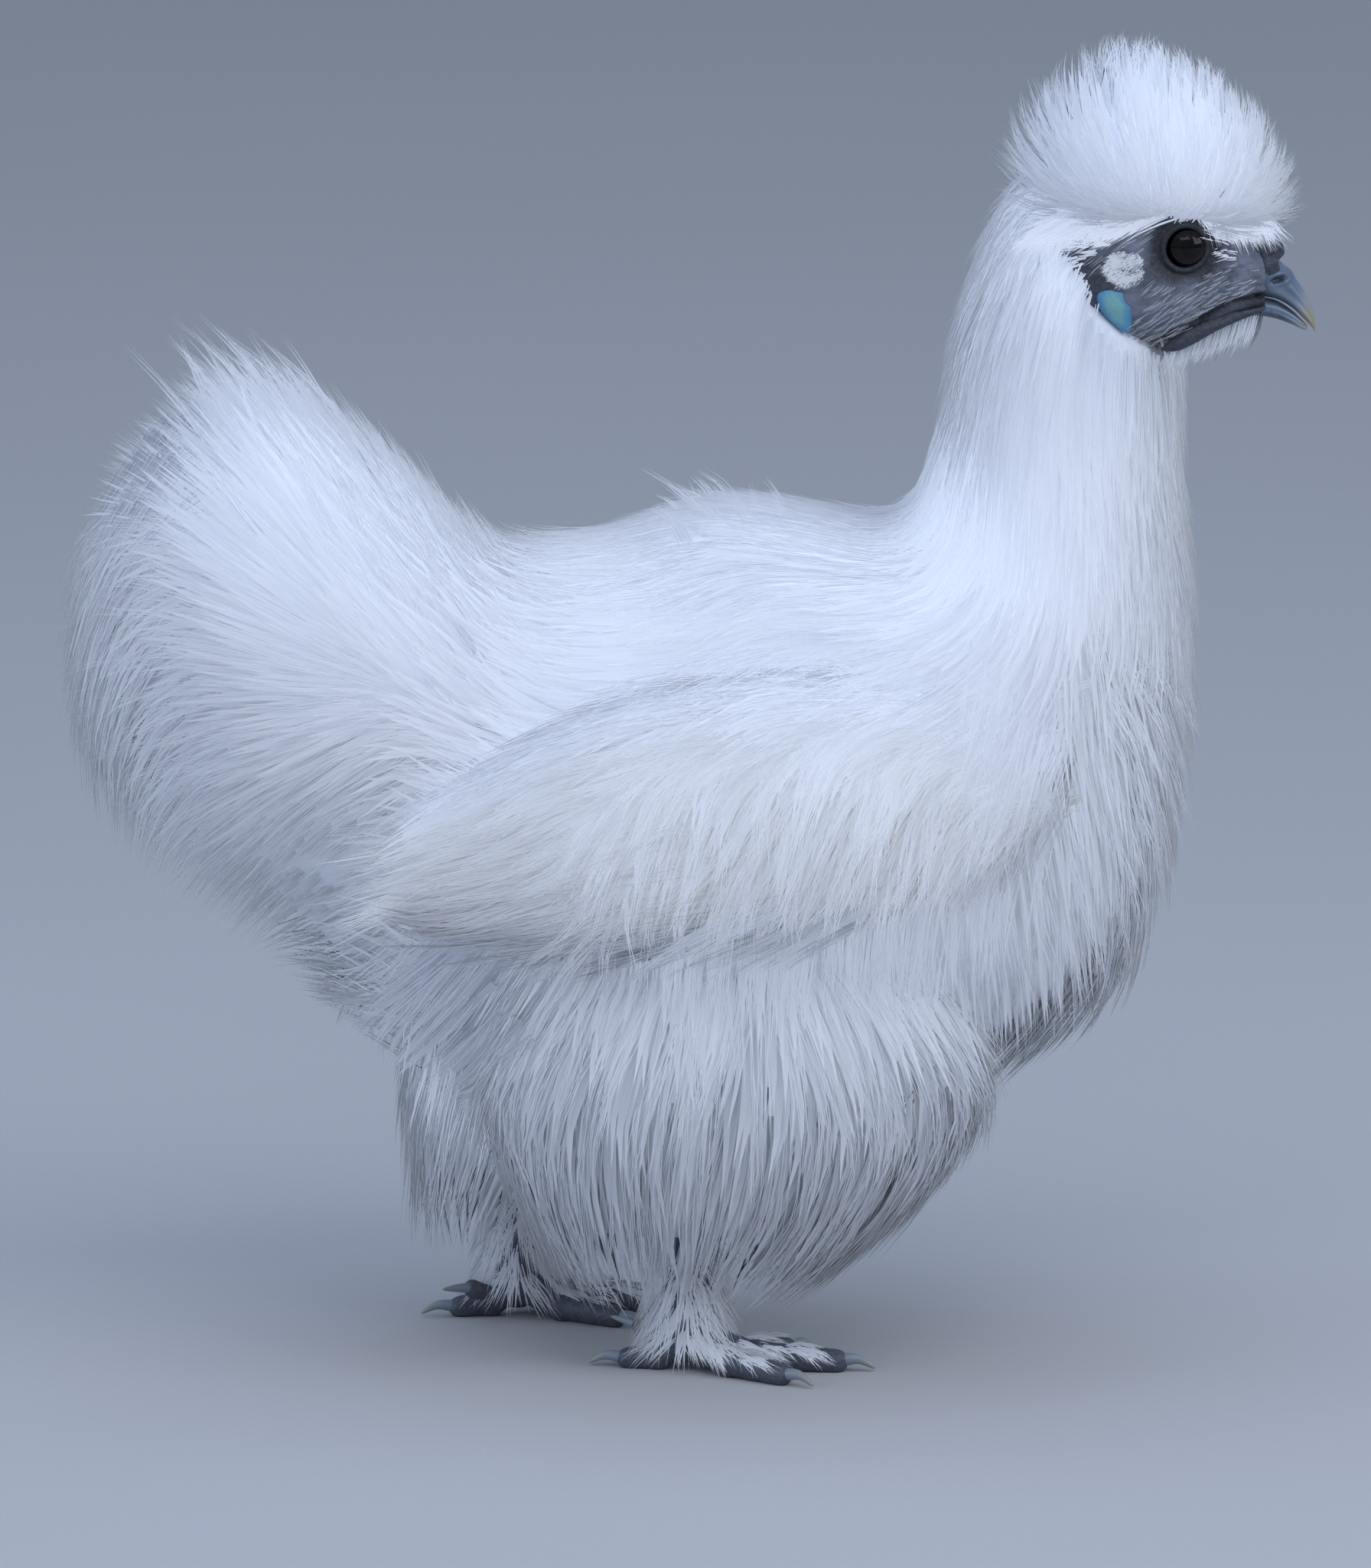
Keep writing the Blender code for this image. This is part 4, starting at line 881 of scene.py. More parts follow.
def inside_trunk(points, margin=0.8):
    """True for points well inside the trunk."""
    row = trunk.row(np.linspace(0, trunk.last, 120))
    tall, wide = row[:, 3:6], row[:, 6:9]
    gap = points[:, None] - row[None, :, 0:3]
    off = np.abs(np.sum(gap * unit(np.cross(tall, wide)), axis=2))
    up, aside = (np.sum(gap * axis, axis=2) / np.sum(axis**2, axis=1) for axis in (tall, wide))
    return np.where(off < 3, np.hypot(up, aside), 9.0).min(axis=1) < margin


def grow(
    tufts, strands, width, stops, root_spread, tip_spread,
    curl=0.0, sag=0.0, warm=0.0, wave=0.4, flat=1.0, shade=0.0,
):
    """Closed tapering strands round each tuft's spine, as rings of three points and a tip."""
    n = len(tufts["tip"])
    count = n * strands
    owner = np.repeat(np.arange(n), strands)
    root, knee, tip, out = (tufts[key][owner][:, None] for key in ("root", "knee", "tip", "out"))
    ahead = unit(tip - root)
    side = unit(np.cross(out, ahead))
    over = np.cross(ahead, side)
    share = np.linspace(0, 1, stops)[None, :, None] * rng.uniform(0.72, 1.0, (count, 1, 1))
    angle = rng.uniform(0, 2 * math.pi, (count, 1, 1))
    radius = np.sqrt(rng.uniform(0, 1, (count, 1, 1)))
    spread = root_spread * (1 - share) + tip_spread * share
    bend = np.repeat(rng.normal(0, curl, n), strands)[:, None, None]
    bend = bend + rng.normal(0, curl * 0.35, (count, 1, 1))
    path = (1 - share) ** 2 * root + 2 * share * (1 - share) * knee + share**2 * tip
    path = path + side * (np.cos(angle) * radius * spread + bend * share**2.5)
    path = path + over * (np.sin(angle) * radius * spread * 0.6) - UP * sag * share**2
    path = path + side * (rng.normal(0, wave, (count, stops, 1)) * share)
    ahead = unit(np.gradient(path, axis=1))
    over = unit(out - np.sum(out * ahead, axis=-1, keepdims=True) * ahead)
    side = np.cross(ahead, over)
    profile = np.interp(np.linspace(0, 1, stops), (0, 0.3, 1), (0.7, 1.0, 0.12))
    thick = width / 2 * profile[None, :, None] * rng.uniform(0.75, 1.25, (count, 1, 1))
    rings, facings = [], []
    for turn in (0.5, 0.5 + 2 * math.pi / 3, 0.5 + 4 * math.pi / 3):
        away = side * math.cos(turn) + over * math.sin(turn) * flat
        rings.append(path + thick * away)
        facings.append(unit(away * (OWN_SHARE * flat) + out * (1 - OWN_SHARE * flat)))
    rings = np.stack(rings, axis=2)[:, :-1].reshape(count, -1, 3)
    facings = np.stack(facings, axis=2)[:, :-1].reshape(count, -1, 3)
    tip_facing = np.broadcast_to(out, path[:, -1:].shape)
    along = np.concatenate([np.repeat(share[:, :-1, 0], 3, axis=1), share[:, -1:, 0]], axis=1)
    tone = np.repeat(np.clip(rng.normal(0.6, 0.25, n), 0, 1), strands)
    # shade darkens a tuft's strands; on the thighs, feet and the wing's down it is painted shade.
    tone = np.clip(tone + rng.normal(0, 0.12, count), 0, 1) + np.broadcast_to(shade, (n,))[owner]
    warm = np.broadcast_to(np.asarray(warm, float), (n,))[owner] * rng.uniform(0.6, 1.2, count)
    return {
        "points": np.concatenate([rings, path[:, -1:]], axis=1),
        "facings": np.concatenate([facings, tip_facing], axis=1),
        "along": along,
        "tone": tone,
        "warm": warm,
        "spot": columns(tufts["place"], tufts["turn"] / (2 * math.pi))[owner],
        "stops": stops,
    }


def down_blades(tufts, width=3.0, warm=0.0, shade=0.0):
    """Broad flat blades of down, one to a tuft, that close the coat just under its surface."""
    return grow(tufts, 1, width, 4, 0.0, 0.0, curl=1.0, warm=warm, wave=0.1, flat=0.1, shade=shade)


def coat_piece(name, layers):
    """Joins layers of strands into one mesh, with their shades and their patches on the skin's unwrap."""
    points, facings, corners, lengths, shades, patches = [], [], [], [], [], []
    low = np.min([layer["spot"].min(axis=0) for layer in layers], axis=0)
    high = np.max([layer["spot"].max(axis=0) for layer in layers], axis=0)
    start, triangles = 0, 0
    for layer in layers:
        stops, count = layer["stops"], len(layer["points"])
        size = 3 * (stops - 1) + 1
        loops = [0, 1, 2]
        sizes = [3]
        for k in range(stops - 2):
            for j in range(3):
                a, b = 3 * k + j, 3 * k + (j + 1) % 3
                loops += [a, a + 3, b + 3, b]
                sizes.append(4)
        for j in range(3):
            loops += [size - 4 + j, size - 1, size - 4 + (j + 1) % 3]
            sizes.append(3)
        triangles += count * (1 + 6 * (stops - 2) + 3)
        offset = start + np.arange(count)[:, None] * size
        corners.append((offset + np.array(loops)).ravel())
        lengths.append(np.tile(sizes, count))
        points.append(layer["points"].reshape(-1, 3))
        facings.append(layer["facings"].reshape(-1, 3))
        tone = layer["tone"][:, None]
        # The cream tint grows towards the roots: partly the barbs' own tint, partly painted shade deep in
        # the coat.
        warm = layer["warm"][:, None] * (1.1 - layer["along"])
        shades.append(columns(layer["along"], tone, warm).reshape(-1, 3))
        home = (layer["spot"] - low) / np.maximum(high - low, 1e-6) * (1 - 2 * PATCH) + PATCH / 2
        across = np.concatenate([np.tile((0, 0.5, 1), stops - 1), [0.5]]) * PATCH
        patch = home[:, None] + columns(across, layer["along"] * PATCH)
        patches.append(patch.reshape(-1, 2)[(offset - start + np.array(loops)).ravel()])
        start += count * size
    if triangles > TRIANGLE_LIMIT:
        raise ValueError(f"{name} has {triangles} triangles")
    mesh = bpy.data.meshes.new(name)
    points, corners, lengths = np.vstack(points), np.concatenate(corners), np.concatenate(lengths)
    mesh.vertices.add(len(points))
    mesh.vertices.foreach_set("co", placed(points).astype(np.float32).ravel())
    mesh.loops.add(len(corners))
    mesh.loops.foreach_set("vertex_index", corners.astype(np.int32))
    mesh.polygons.add(len(lengths))
    mesh.polygons.foreach_set("loop_start", np.concatenate([[0], np.cumsum(lengths)[:-1]]).astype(np.int32))
    mesh.polygons.foreach_set("loop_total", lengths.astype(np.int32))
    mesh.update(calc_edges=True)
    mesh.polygons.foreach_set("use_smooth", np.ones(len(lengths), bool))
    mesh.normals_split_custom_set_from_vertices(np.vstack(facings).astype(np.float32))
    strand = mesh.attributes.new("strand", "FLOAT_VECTOR", "POINT")
    strand.data.foreach_set("vector", np.vstack(shades).astype(np.float32).ravel())
    unwrap = mesh.uv_layers.new(name="OFBake")
    unwrap.data.foreach_set("uv", np.vstack(patches).astype(np.float32).ravel())
    mesh.materials.append(plumage)
    made = bpy.data.objects.new(name, mesh)
    bpy.context.scene.collection.objects.link(made)
    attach(made, "root")
    made.visible_shadow = False  # fine white barbs pass light on, so only the body under them throws shade
    return made


# Neck and breast: long fine strands that fall smoothly from the nape and throat over the shoulders. They
# are short where they start, behind the bare face, and grow longer down the neck.
BARE_FACE = [
    (96.8, 270.4), (98.6, 259.2), (106.2, 251.3), (116.9, 244.9), (123.9, 249.3), (136.9, 254.2),
    (140.1, 266.3), (132.8, 267.8), (128.3, 272.7), (124.3, 280.2), (112.1, 278.7), (106.8, 276.5),
]


def in_outline(x, z, outline):
    """True for points inside a closed outline, both seen from the side."""
    inside = np.zeros(x.shape, bool)
    for (ax, az), (bx, bz) in zip(outline, outline[1:] + outline[:1]):
        crossing = (az > z) != (bz > z)
        inside ^= crossing & (x < (bx - ax) * (z - az) / (bz - az + 1e-12) + ax)
    return inside


def over_face(tufts, width=0.0):
    """True for tufts whose root or middle would lie over the bare face."""
    covered = np.zeros(len(tufts["tip"]), bool)
    for key, margin in (("root", 1.0 + width), ("knee", 2.5 + width), ("tip", 2.5 + width)):
        x, z = tufts[key][:, 0], tufts[key][:, 2]
        edge = gap_to_line(x, z, BARE_FACE + BARE_FACE[:1])
        covered |= (in_outline(x, z, BARE_FACE) | (edge < margin)) & (np.abs(tufts[key][:, 1]) > 5)
    return covered


def neck_tufts(count, over, width=0.0):
    place, turn = even_spots(trunk, (0.15, 5.6), (0, 2 * math.pi), count)
    lean = 0.1 * ripple(trunk.at(place, turn), 35, 11)
    length = np.minimum(36.0, 8.0 + 14.0 * place + 10.0 * np.maximum(0, np.cos(turn)))
    tufts = lying_tufts(trunk, place, turn, length, 7.0, rng.uniform(*over, count), lean)
    return chosen(tufts, ~hidden(tufts["tip"]) & ~over_face(tufts, width))


layers = [
    down_blades(neck_tufts(1700, (-2.6, -1.4), 2.0), 2.6),
    grow(neck_tufts(1520, (-1.4, 0.8)), 5, 0.45, 4, 2.6, 1.2, curl=1.0, wave=0.25),
]
coat_piece("neck_plumage", layers)


# Body: the back and breast lie smooth, and the belly and vent are loose fluff that stands out below. Locks
# hang from the breast over the belly, and one small tuft stands up on the saddle.
def back_tufts(count, over):
    place, turn = even_spots(trunk, (5.2, 14.2), (-0.55 * math.pi, 0.55 * math.pi), count)
    lean = 0.1 * ripple(trunk.at(place, turn), 40, 12)
    tufts = lying_tufts(trunk, place, turn, 36.0, 8.0, rng.uniform(*over, count), lean)
    return chosen(tufts, ~hidden(tufts["tip"]))


SADDLE_TOP = (13, 0, 200)
saddle = rng.normal(0, 1, (34, 3)) * (8, 9, 0) + SADDLE_TOP
tip = saddle + rng.normal(0, 1, (34, 3)) * (3, 2, 2.0) + (-11, 0, 12.0)
out = np.tile((0.3, 0.0, 0.95), (34, 1))
place = 9.7 - (saddle[:, 0] - SADDLE_TOP[0]) / 18
saddle_tufts = tuft_set(saddle - UP * 5, saddle + (-1, 0, 7), tip, out, place, saddle[:, 1] / 65)
layers = [
    down_blades(back_tufts(1800, (-2.6, -1.4))),
    grow(back_tufts(1420, (-1.6, 1.0)), 5, 0.5, 4, 2.8, 1.4, curl=1.5, wave=0.3),
    grow(saddle_tufts, 9, 0.4, 5, 2.6, 1.6, curl=2.0, wave=0.4),
]
coat_piece("back_plumage", layers)


def belly_tufts(count, over):
    place, turn = even_spots(trunk, (5.0, 14.6), (0.5 * math.pi, 1.5 * math.pi), count)
    under = np.abs(turn - math.pi)
    lean = 0.1 * ripple(trunk.at(place, turn), 40, 13)
    flank = ramp(place, 6.0, 9.0) * ramp(place, 13.5, 11.5) * (under > 0.35)
    lean = lean + 0.42 * flank * np.sign(math.pi - turn)
    loose = ramp(place, 9.5, 13.0) * 0.8
    length = 36.0 - 12.0 * flank
    over = rng.uniform(*over, count)
    tufts = lying_tufts(trunk, place, turn, length, 9.0, over, lean, 0.3, (-15, 0.8, 150), loose)
    hang = 0.75 * ramp(place, 5.2, 7.5) * ramp(place, 12.5, 10.0) * ramp(np.abs(turn - math.pi), 0.3, 0.9)
    tufts = combed(tufts, (0.12, 0, -1), hang)
    tufts = combed(tufts, (-0.5, 0, -1), 0.5 * ramp(place, 11.0, 13.0))
    return chosen(tufts, ~hidden(tufts["tip"], 0.7))


place, turn = even_spots(trunk, (5.2, 9.0), (0.56 * math.pi, 1.44 * math.pi), 170)
lean = 0.5 * np.sign(math.pi - turn) * (np.abs(turn - math.pi) > 0.5)
breast_locks = lying_tufts(trunk, place, turn, 24.0, 5.0, rng.uniform(0.5, 4.5, 170), lean, 0.5)
breast_locks = combed(breast_locks, (0.25, 0, -1), 0.8, 6.0)
breast_locks = chosen(breast_locks, inside_trunk(breast_locks["root"], 0.95))
tip = rng.uniform((0, -42, 38), (38, 42, 82), (260, 3))
tip[:, 0] += -73 + 0.25 * (82 - tip[:, 2])
root = tip + np.array((9, 0, 36)) * rng.uniform(0.85, 1.15, (260, 1)) - tip * (0, 0.3, 0)
out = unit(columns(-0.6, tip[:, 1] / 30, -0.1))
place, turn = 14 - (tip[:, 0] + 74) / 16, math.pi - tip[:, 1] / 45
vent = tuft_set(root, (root + tip) / 2 + out * 4, tip, out, place, turn)
layers = [
    grow(vent, 5, 0.5, 4, 3.2, 2.4, curl=2.0, wave=0.3),
    down_blades(belly_tufts(2200, (-3.2, -1.8))),
    grow(belly_tufts(1350, (-2.0, 2.0)), 5, 0.5, 4, 2.6, 1.8, curl=1.6, wave=0.3),
]
coat_piece("belly_plumage", layers)
coat_piece("breast_locks", [grow(breast_locks, 8, 0.45, 4, 2.4, 0.7, curl=2.0, wave=0.3)])

# Tail: a full round cushion of soft feathers that fans out from its root, with a ragged fringe of wisps
# along its top and rear that curl over at their ends.
TAIL_HEART = (-60, 0.8, 168)
WISPS_TOP = (-103, 0, 236)


def tail_tufts(count, over):
    place, turn = even_spots(trunk, (13.6, 19.9), (0, 2 * math.pi), count)
    lean = 0.08 * ripple(trunk.at(place, turn), 35, 14)
    slope = ramp(np.cos(turn), 0.2, 0.8) * ramp(place, 18.5, 16.5)
    fan = ramp(place, 13.2, 15.8) * (1 - 0.8 * slope)
    over = rng.uniform(*over, count) + 3.5 * ramp(place, 15.5, 19.0)
    tufts = lying_tufts(trunk, place, turn, 38.0, 10.0, over, lean, 0.0, TAIL_HEART, fan)
    share = ramp(tufts["out"][:, 0], -0.5, -0.98) * ramp(tufts["tip"][:, 2], 225, 180)
    fall = combed(tufts, (-0.3, 0, -1), 1.0, 6.0)
    fall["root"][:, 1] -= fall["tip"][:, 1] / 6
    for key in ("root", "knee"):
        tufts[key] = tufts[key] * (1 - share[:, None]) + fall[key] * share[:, None]
    return tufts


def below_slope(tufts):
    """True for tufts whose tips stay under the slope from the saddle up to the tail's top."""
    x, y, z = tufts["tip"].T
    return z + 0.2 * np.abs(y) < 212 + 0.8 * np.maximum(-52 - x, 0)


def near_wing(tufts):
    return 0.15 * ridge(np.hypot(tufts["tip"][:, 0] + 62, tufts["tip"][:, 2] - 170), 28)


tail_down = tail_tufts(2300, (-4.0, -2.2))
tail_silk = tail_tufts(1650, (-2.0, 2.0))
layers = [
    down_blades(tail_down, 3.0, near_wing(tail_down)),
    grow(tail_silk, 5, 0.45, 4, 2.8, 1.7, curl=1.5, wave=0.3, warm=near_wing(tail_silk)),
]
coat_piece("tail_plumage", layers)

place, turn = even_spots(trunk, (15.0, 20.0), (0, 2 * math.pi), 560)
spot = trunk.at(place, turn)
upper = spot[:, 2] + rng.normal(0, 12, len(place)) > 165
over = np.where(upper, rng.uniform(1, 10, len(place)), rng.uniform(0, 4, len(place)))
over = over + 2.0 * ramp(place, 15.5, 19.0)
fringe_tufts = lying_tufts(trunk, place, turn, 42.0, 12.0, over, 0.0, 0.0, TAIL_HEART, 1.0)
fringe_tufts["knee"] = fringe_tufts["knee"] + UP * 2.5
rim = below_slope(fringe_tufts) & (np.abs(fringe_tufts["out"][:, 1]) < rng.uniform(0.5, 0.85, len(place)))
fringe_tufts, upper = chosen(fringe_tufts, rim), upper[rim]
wisp = rng.normal(0, 1, (46, 3)).clip(-1.8, 1.8) * (10, 10, 3) + WISPS_TOP
wisp[:, 2] -= 0.35 * np.abs(wisp[:, 0] - WISPS_TOP[0])
tip = wisp + rng.normal(0, 1, (46, 3)).clip(-1.8, 1.8) * (6, 4, 3.5) + (-13, 0, 20)
out = np.tile(unit((0.3, 0.0, 0.95)), (46, 1))
place, turn = 17 - (wisp[:, 0] + 100) / 16, wisp[:, 1] / 40
wisps = tuft_set(wisp + (20, 0, -32), wisp + (7, 0, -3), tip, out, place, turn)
layers = [
    grow(chosen(fringe_tufts, upper), 8, 0.42, 6, 2.6, 0.7, curl=5.0, sag=3.5, wave=0.3),
    grow(chosen(fringe_tufts, ~upper), 6, 0.42, 4, 2.4, 1.4, curl=1.8, sag=0.5, wave=0.3),
    grow(wisps, 7, 0.42, 6, 2.4, 0.9, curl=4.0, sag=3.0, wave=0.3),
]
coat_piece("tail_fringe", layers)

# Folded wings: smooth over the shoulder, wavy locks that hang from the middle, long soft flight feathers
# that run back to the tail, and long pale feathers along the lower edge. The coat under the locks is painted
# warm grey: partly a cream tint, partly painted shade.
for name, side in SIDES:
    form = wings[name]

    def wing_tufts(count, places, turns, length, over, crowd=0.0, flow=1.0):
        """Tufts that lie back over shoulder and flight feathers, and hang from the wing's middle."""
        start, end = (side * share * math.pi for share in turns)
        place, turn = even_spots(form, places, (start, end), count, crowd)
        hang = ramp(place, 0.8, 2.6) * ramp(place, 6.2, 4.6)
        hang = hang * ramp(np.abs(turn), 0.3 * math.pi, 0.62 * math.pi)
        lean = np.interp(place, (0, 4.5, 7.0), (0.42, 0.3, 0.1)) + 0.55 * hang * flow
        lean = side * (lean + 0.16 * ripple(form.at(place, turn), 26, 15))
        length = length * (1 - 0.5 * hang * flow)
        over = rng.uniform(*over, count)
        tufts = lying_tufts(form, place, turn - lean, length, 6.0, over, lean, 0.5 * hang)
        return chosen(tufts, inside_trunk(tufts["root"], 0.93) | (form.ratio(tufts["root"], 0) < 0.9))

    locks = wing_tufts(150, (1.4, 5.8), (0.4, 0.98), 34.0, (0.5, 5.5), 0.0, 1.3)
    low = ramp(np.abs(locks["turn"]), 0.62 * math.pi, 0.85 * math.pi)[:, None]
    locks["tip"] = locks["tip"] - low * (2, 0, 9) * rng.uniform(0.3, 1.4, low.shape)
    down = wing_tufts(950, (0.4, 7.8), (0.0, 0.97), 28.0, (-3.4, -1.8), 2.0)
    silk = wing_tufts(620, (0.4, 7.6), (0.0, 0.97), 30.0, (-1.2, 1.0), 1.5)
    # Down and silk grow darker and warmer from the wing's top to its middle: painted shade under the locks,
    # with a cream tint.
    gaps = (ramp(np.abs(tufts["turn"]), 0.05 * math.pi, 0.5 * math.pi) for tufts in (down, silk))
    gap_shade_down, gap_shade_silk = gaps
    layers = [
        down_blades(down, 2.8, 0.2 + 0.7 * gap_shade_down, -1.1 * gap_shade_down),
        grow(
            silk, 5, 0.45, 4, 2.6, 1.2, curl=2.0, wave=0.3,
            warm=0.1 + 0.4 * gap_shade_silk, shade=-0.5 * gap_shade_silk,
        ),
    ]
    flights = wing_tufts(80, (5.0, 8.0), (0.2, 0.95), 55.0, (0.0, 3.0), 1.0, 0.0)
    edging = wing_tufts(46, (3.4, 7.9), (0.84, 0.97), 50.0, (0.5, 3.0), 0.0, 0.0)
    edging["tip"] = edging["tip"] - UP * rng.uniform(2, 9, (len(edging["tip"]), 1))

    # Feathers of the back spill over the wing's top edge, and those of the flank come out from under it.
    place, turn = even_spots(form, (1.3, 7.0), (0.0, side * 0.4 * math.pi), 180)
    out = unit(form.outward(place, turn) + np.array((0, side * 0.3, 0.6)))
    tip = form.at(place, turn) + out * rng.uniform(-0.5, 1.5, (len(place), 1))
    reach = rng.uniform(0.8, 1.2, (len(place), 1))
    root = tip + np.array((24, -side * 14, 11)) * reach - out * 7
    cape = tuft_set(root, (root + tip) / 2 + out * 3, tip, out, place, turn)
    cape = chosen(cape, inside_trunk(root, 0.92))
    place, turn = even_spots(form, (0.0, 1.9), (side * 0.02 * math.pi, side * 0.85 * math.pi), 150)
    out = form.outward(place, turn)
    tip = form.at(place, turn) + out * rng.uniform(0.5, 3.0, (150, 1)) - UP * 5
    root = tip + np.array((7, -side * 17, 27)) * rng.uniform(0.9, 1.2, (150, 1))
    shoulder = tuft_set(root, (root + tip) / 2 + out * 7, tip, out, place, turn)
    shoulder = chosen(shoulder, inside_trunk(root, 0.92))
    place = rng.uniform(0.6, 5.2, 190)
    drop = 4 + 14 * ramp(place, 5.4, 3.4)
    tip = form.at(place, np.full(190, side * 0.93 * math.pi)) + np.array((-4, -side * 1, 0))
    tip = tip - UP * drop[:, None]
    tip = tip + rng.normal(0, 1, (190, 3)) * (3, 2, 6)
    out = np.tile(unit((0, side, -0.1)), (190, 1))
    root, knee = tip + (4, -side * 8, 30), tip + (0, side * 2, 16)
    flank = tuft_set(root, knee, tip, out, place, side * (2.6 + 0.02 * drop))
    tip = rng.uniform((-92, 46, 108), (-78, 56, 136), (34, 3)) * (1, side, 1)
    root = tip * (0.3, 1, 0.4) + np.array((-14, side * 4, 86)) + rng.normal(0, 1.5, (34, 3))
    out = unit(np.tile((-0.1, side, 0.2), (34, 1)))
    place, turn = 7.2 - (tip[:, 0] + 80) / 14, side * (1.6 - (tip[:, 2] - 122) / 16)
    quills = tuft_set(root - out * 4, (root + tip) / 2 + out * 3, tip, out, place, turn)
    layers += [
        grow(cape, 6, 0.45, 4, 2.8, 1.6, curl=1.5, wave=0.3),
        grow(shoulder, 6, 0.45, 4, 2.8, 1.6, curl=1.5, wave=0.3),
        grow(flank, 6, 0.45, 4, 2.8, 2.0, curl=1.5, wave=0.3),
    ]
    coat_piece(f"wing_{name}_plumage", layers)
    layers = [
        grow(locks, 13, 0.44, 5, 3.2, 0.6, curl=4.5, wave=0.25, warm=0.4),
        grow(flights, 9, 0.45, 5, 2.6, 0.6, curl=2.5, wave=0.2, warm=0.7),
        grow(edging, 9, 0.45, 5, 2.0, 0.7, curl=3.0, wave=0.2, warm=0.05),
        grow(quills, 8, 0.45, 5, 2.2, 1.0, curl=1.5, wave=0.25, warm=0.5),
    ]
    coat_piece(f"wing_{name}_locks", layers)

# Thighs: deep trousers of fluff that hang to the feet and close round the shanks. They are painted greyer
# towards the ground, a painted shade.
def ground_shade(tufts):
    # painted shade: strands darken from 95 mm down to 25 mm above the floor
    return -2.0 * ramp(tufts["tip"][:, 2], 95, 25)


for name, side in SIDES:
    form = thighs[name]

    def trouser_tufts(count, over):
        place, turn = even_spots(form, (0.4, 5.98), (0, 2 * math.pi), count, 3.0)
        lean = 0.12 * ripple(form.at(place, turn), 24, 18)
        tufts = lying_tufts(form, place, turn, 38.0, 8.0, rng.uniform(*over, count), lean)
        return chosen(tufts, ~inside_trunk(tufts["tip"]))

    place, turn = even_spots(form, (0.0, 2.6), (0, 2 * math.pi), 190)
    drape = lying_tufts(form, place, turn, 46.0, 16.0, rng.uniform(1.0, 5.0, 190))
    drape = chosen(drape, drape["out"][:, 1] * side > -0.3)
    down = trouser_tufts(1000, (-3.4, -2.0))
    silk = trouser_tufts(780, (-2.0, 2.5))
    layers = [
        down_blades(down, shade=ground_shade(down)),
        grow(silk, 5, 0.48, 4, 2.6, 2.0, curl=1.8, wave=0.3, shade=ground_shade(silk)),
        grow(drape, 7, 0.48, 4, 3.0, 2.4, curl=2.0, wave=0.3),
    ]
    coat_piece(f"thigh_{name}_plumage", layers)

# Crest: a round puff that springs from the skull above the eyes, and lies up and over to its edge all round.
CREST_OUTLINE = [
    (137, 272), (149, 278), (148, 288), (143, 298), (133, 309), (120, 318), (104, 321), (91, 316),
    (80, 306), (75, 293), (76, 281), (86, 276), (100, 279), (116, 280),
]
CREST_HALF_WIDTH = 32
CREST_HEART = np.array((CREST_MIDDLE[0], 0.0, CREST_MIDDLE[1]))


def crest_point(turn, lean, share=1.0):
    """Points a share of the way to the crest's outline, turned forward from upright and leant aside."""
    outline = np.array(CREST_OUTLINE, float) - np.array(CREST_MIDDLE)
    turns = np.arctan2(outline[:, 0], outline[:, 1]) % (2 * math.pi)
    order = np.argsort(turns)
    reach = np.interp(turn, turns[order], np.linalg.norm(outline, axis=1)[order], period=2 * math.pi)
    reach = 1 / np.hypot(np.cos(lean) / reach, np.sin(lean) / CREST_HALF_WIDTH)
    ray = columns(np.cos(lean) * np.sin(turn), np.sin(lean), np.cos(lean) * np.cos(turn))
    return CREST_HEART + ray * (reach * share)[..., None]


def toward(ray, share):
    """Points of the puff along rays from its middle."""
    return crest_point(np.arctan2(ray[:, 0], ray[:, 2]), np.arcsin(np.clip(ray[:, 1], -1, 1)), share)


def crest_tufts(count, reach, length=25.0):
    """Tufts that fan out over each side of the puff from above the eye, and stand out at its edge."""
    ray = unit(rng.normal(size=(count, 3)))
    near = np.where(ray[:, 1] + rng.uniform(-0.4, 0.4, count) > 0, 1, -1)
    source = unit(columns(0.1 + 0.45 * ray[:, 0], 0.8 * near, -0.55))
    source = source + rng.normal(0, 0.08, source.shape)
    edge = ramp(np.abs(ray[:, 1]), 0.5, 0.05)
    angle = np.arccos(np.clip(np.sum(ray * unit(source), axis=1), -1, 1))
    step = np.minimum(0.85, length / 34 / np.maximum(angle, 0.1))[:, None]
    share = rng.uniform(*reach, count)
    tip = toward(ray, share + 0.05 * edge)
    knee = toward(unit(ray * (1 - step * 0.45) + source * step * 0.45), share - 0.05 * edge)
    root = toward(unit(ray * (1 - step) + source * step), share * 0.74)
    tufts = tuft_set(root, knee, tip, ray, ray[:, 0], (2 + ray[:, 2]) * near)
    clear = (head.ratio(tip, 0) > 1.0) & ((ray[:, 2] > -0.75) | (np.abs(ray[:, 0]) > 0.6))
    return chosen(tufts, clear & ~over_face(tufts))


def side_sweep(count, start, spread, reach, drop, out_y):
    """Tufts from a line over the brow, on both sides, that sweep by reach and fall by drop."""
    near = rng.choice((-1.0, 1.0), count)
    share = rng.uniform(0, 1, count)
    base = np.array(start) + np.array(spread) * share[:, None]
    base = base + rng.normal(0, 0.8, (count, 3))
    tip = base + np.array((reach[0], 0, reach[1])) * rng.uniform(0.8, 1.15, (count, 1))
    base[:, 1] *= near
    tip[:, 1] = near * (np.abs(tip[:, 1]) + out_y)
    knee = (base + tip) / 2 + UP * drop
    knee[:, 1] += near * out_y * 0.4
    ray = unit(base - CREST_HEART)
    return tuft_set(base, knee, tip, unit(columns(0, near, 0.5)), ray[:, 0], (2 + ray[:, 2]) * near)


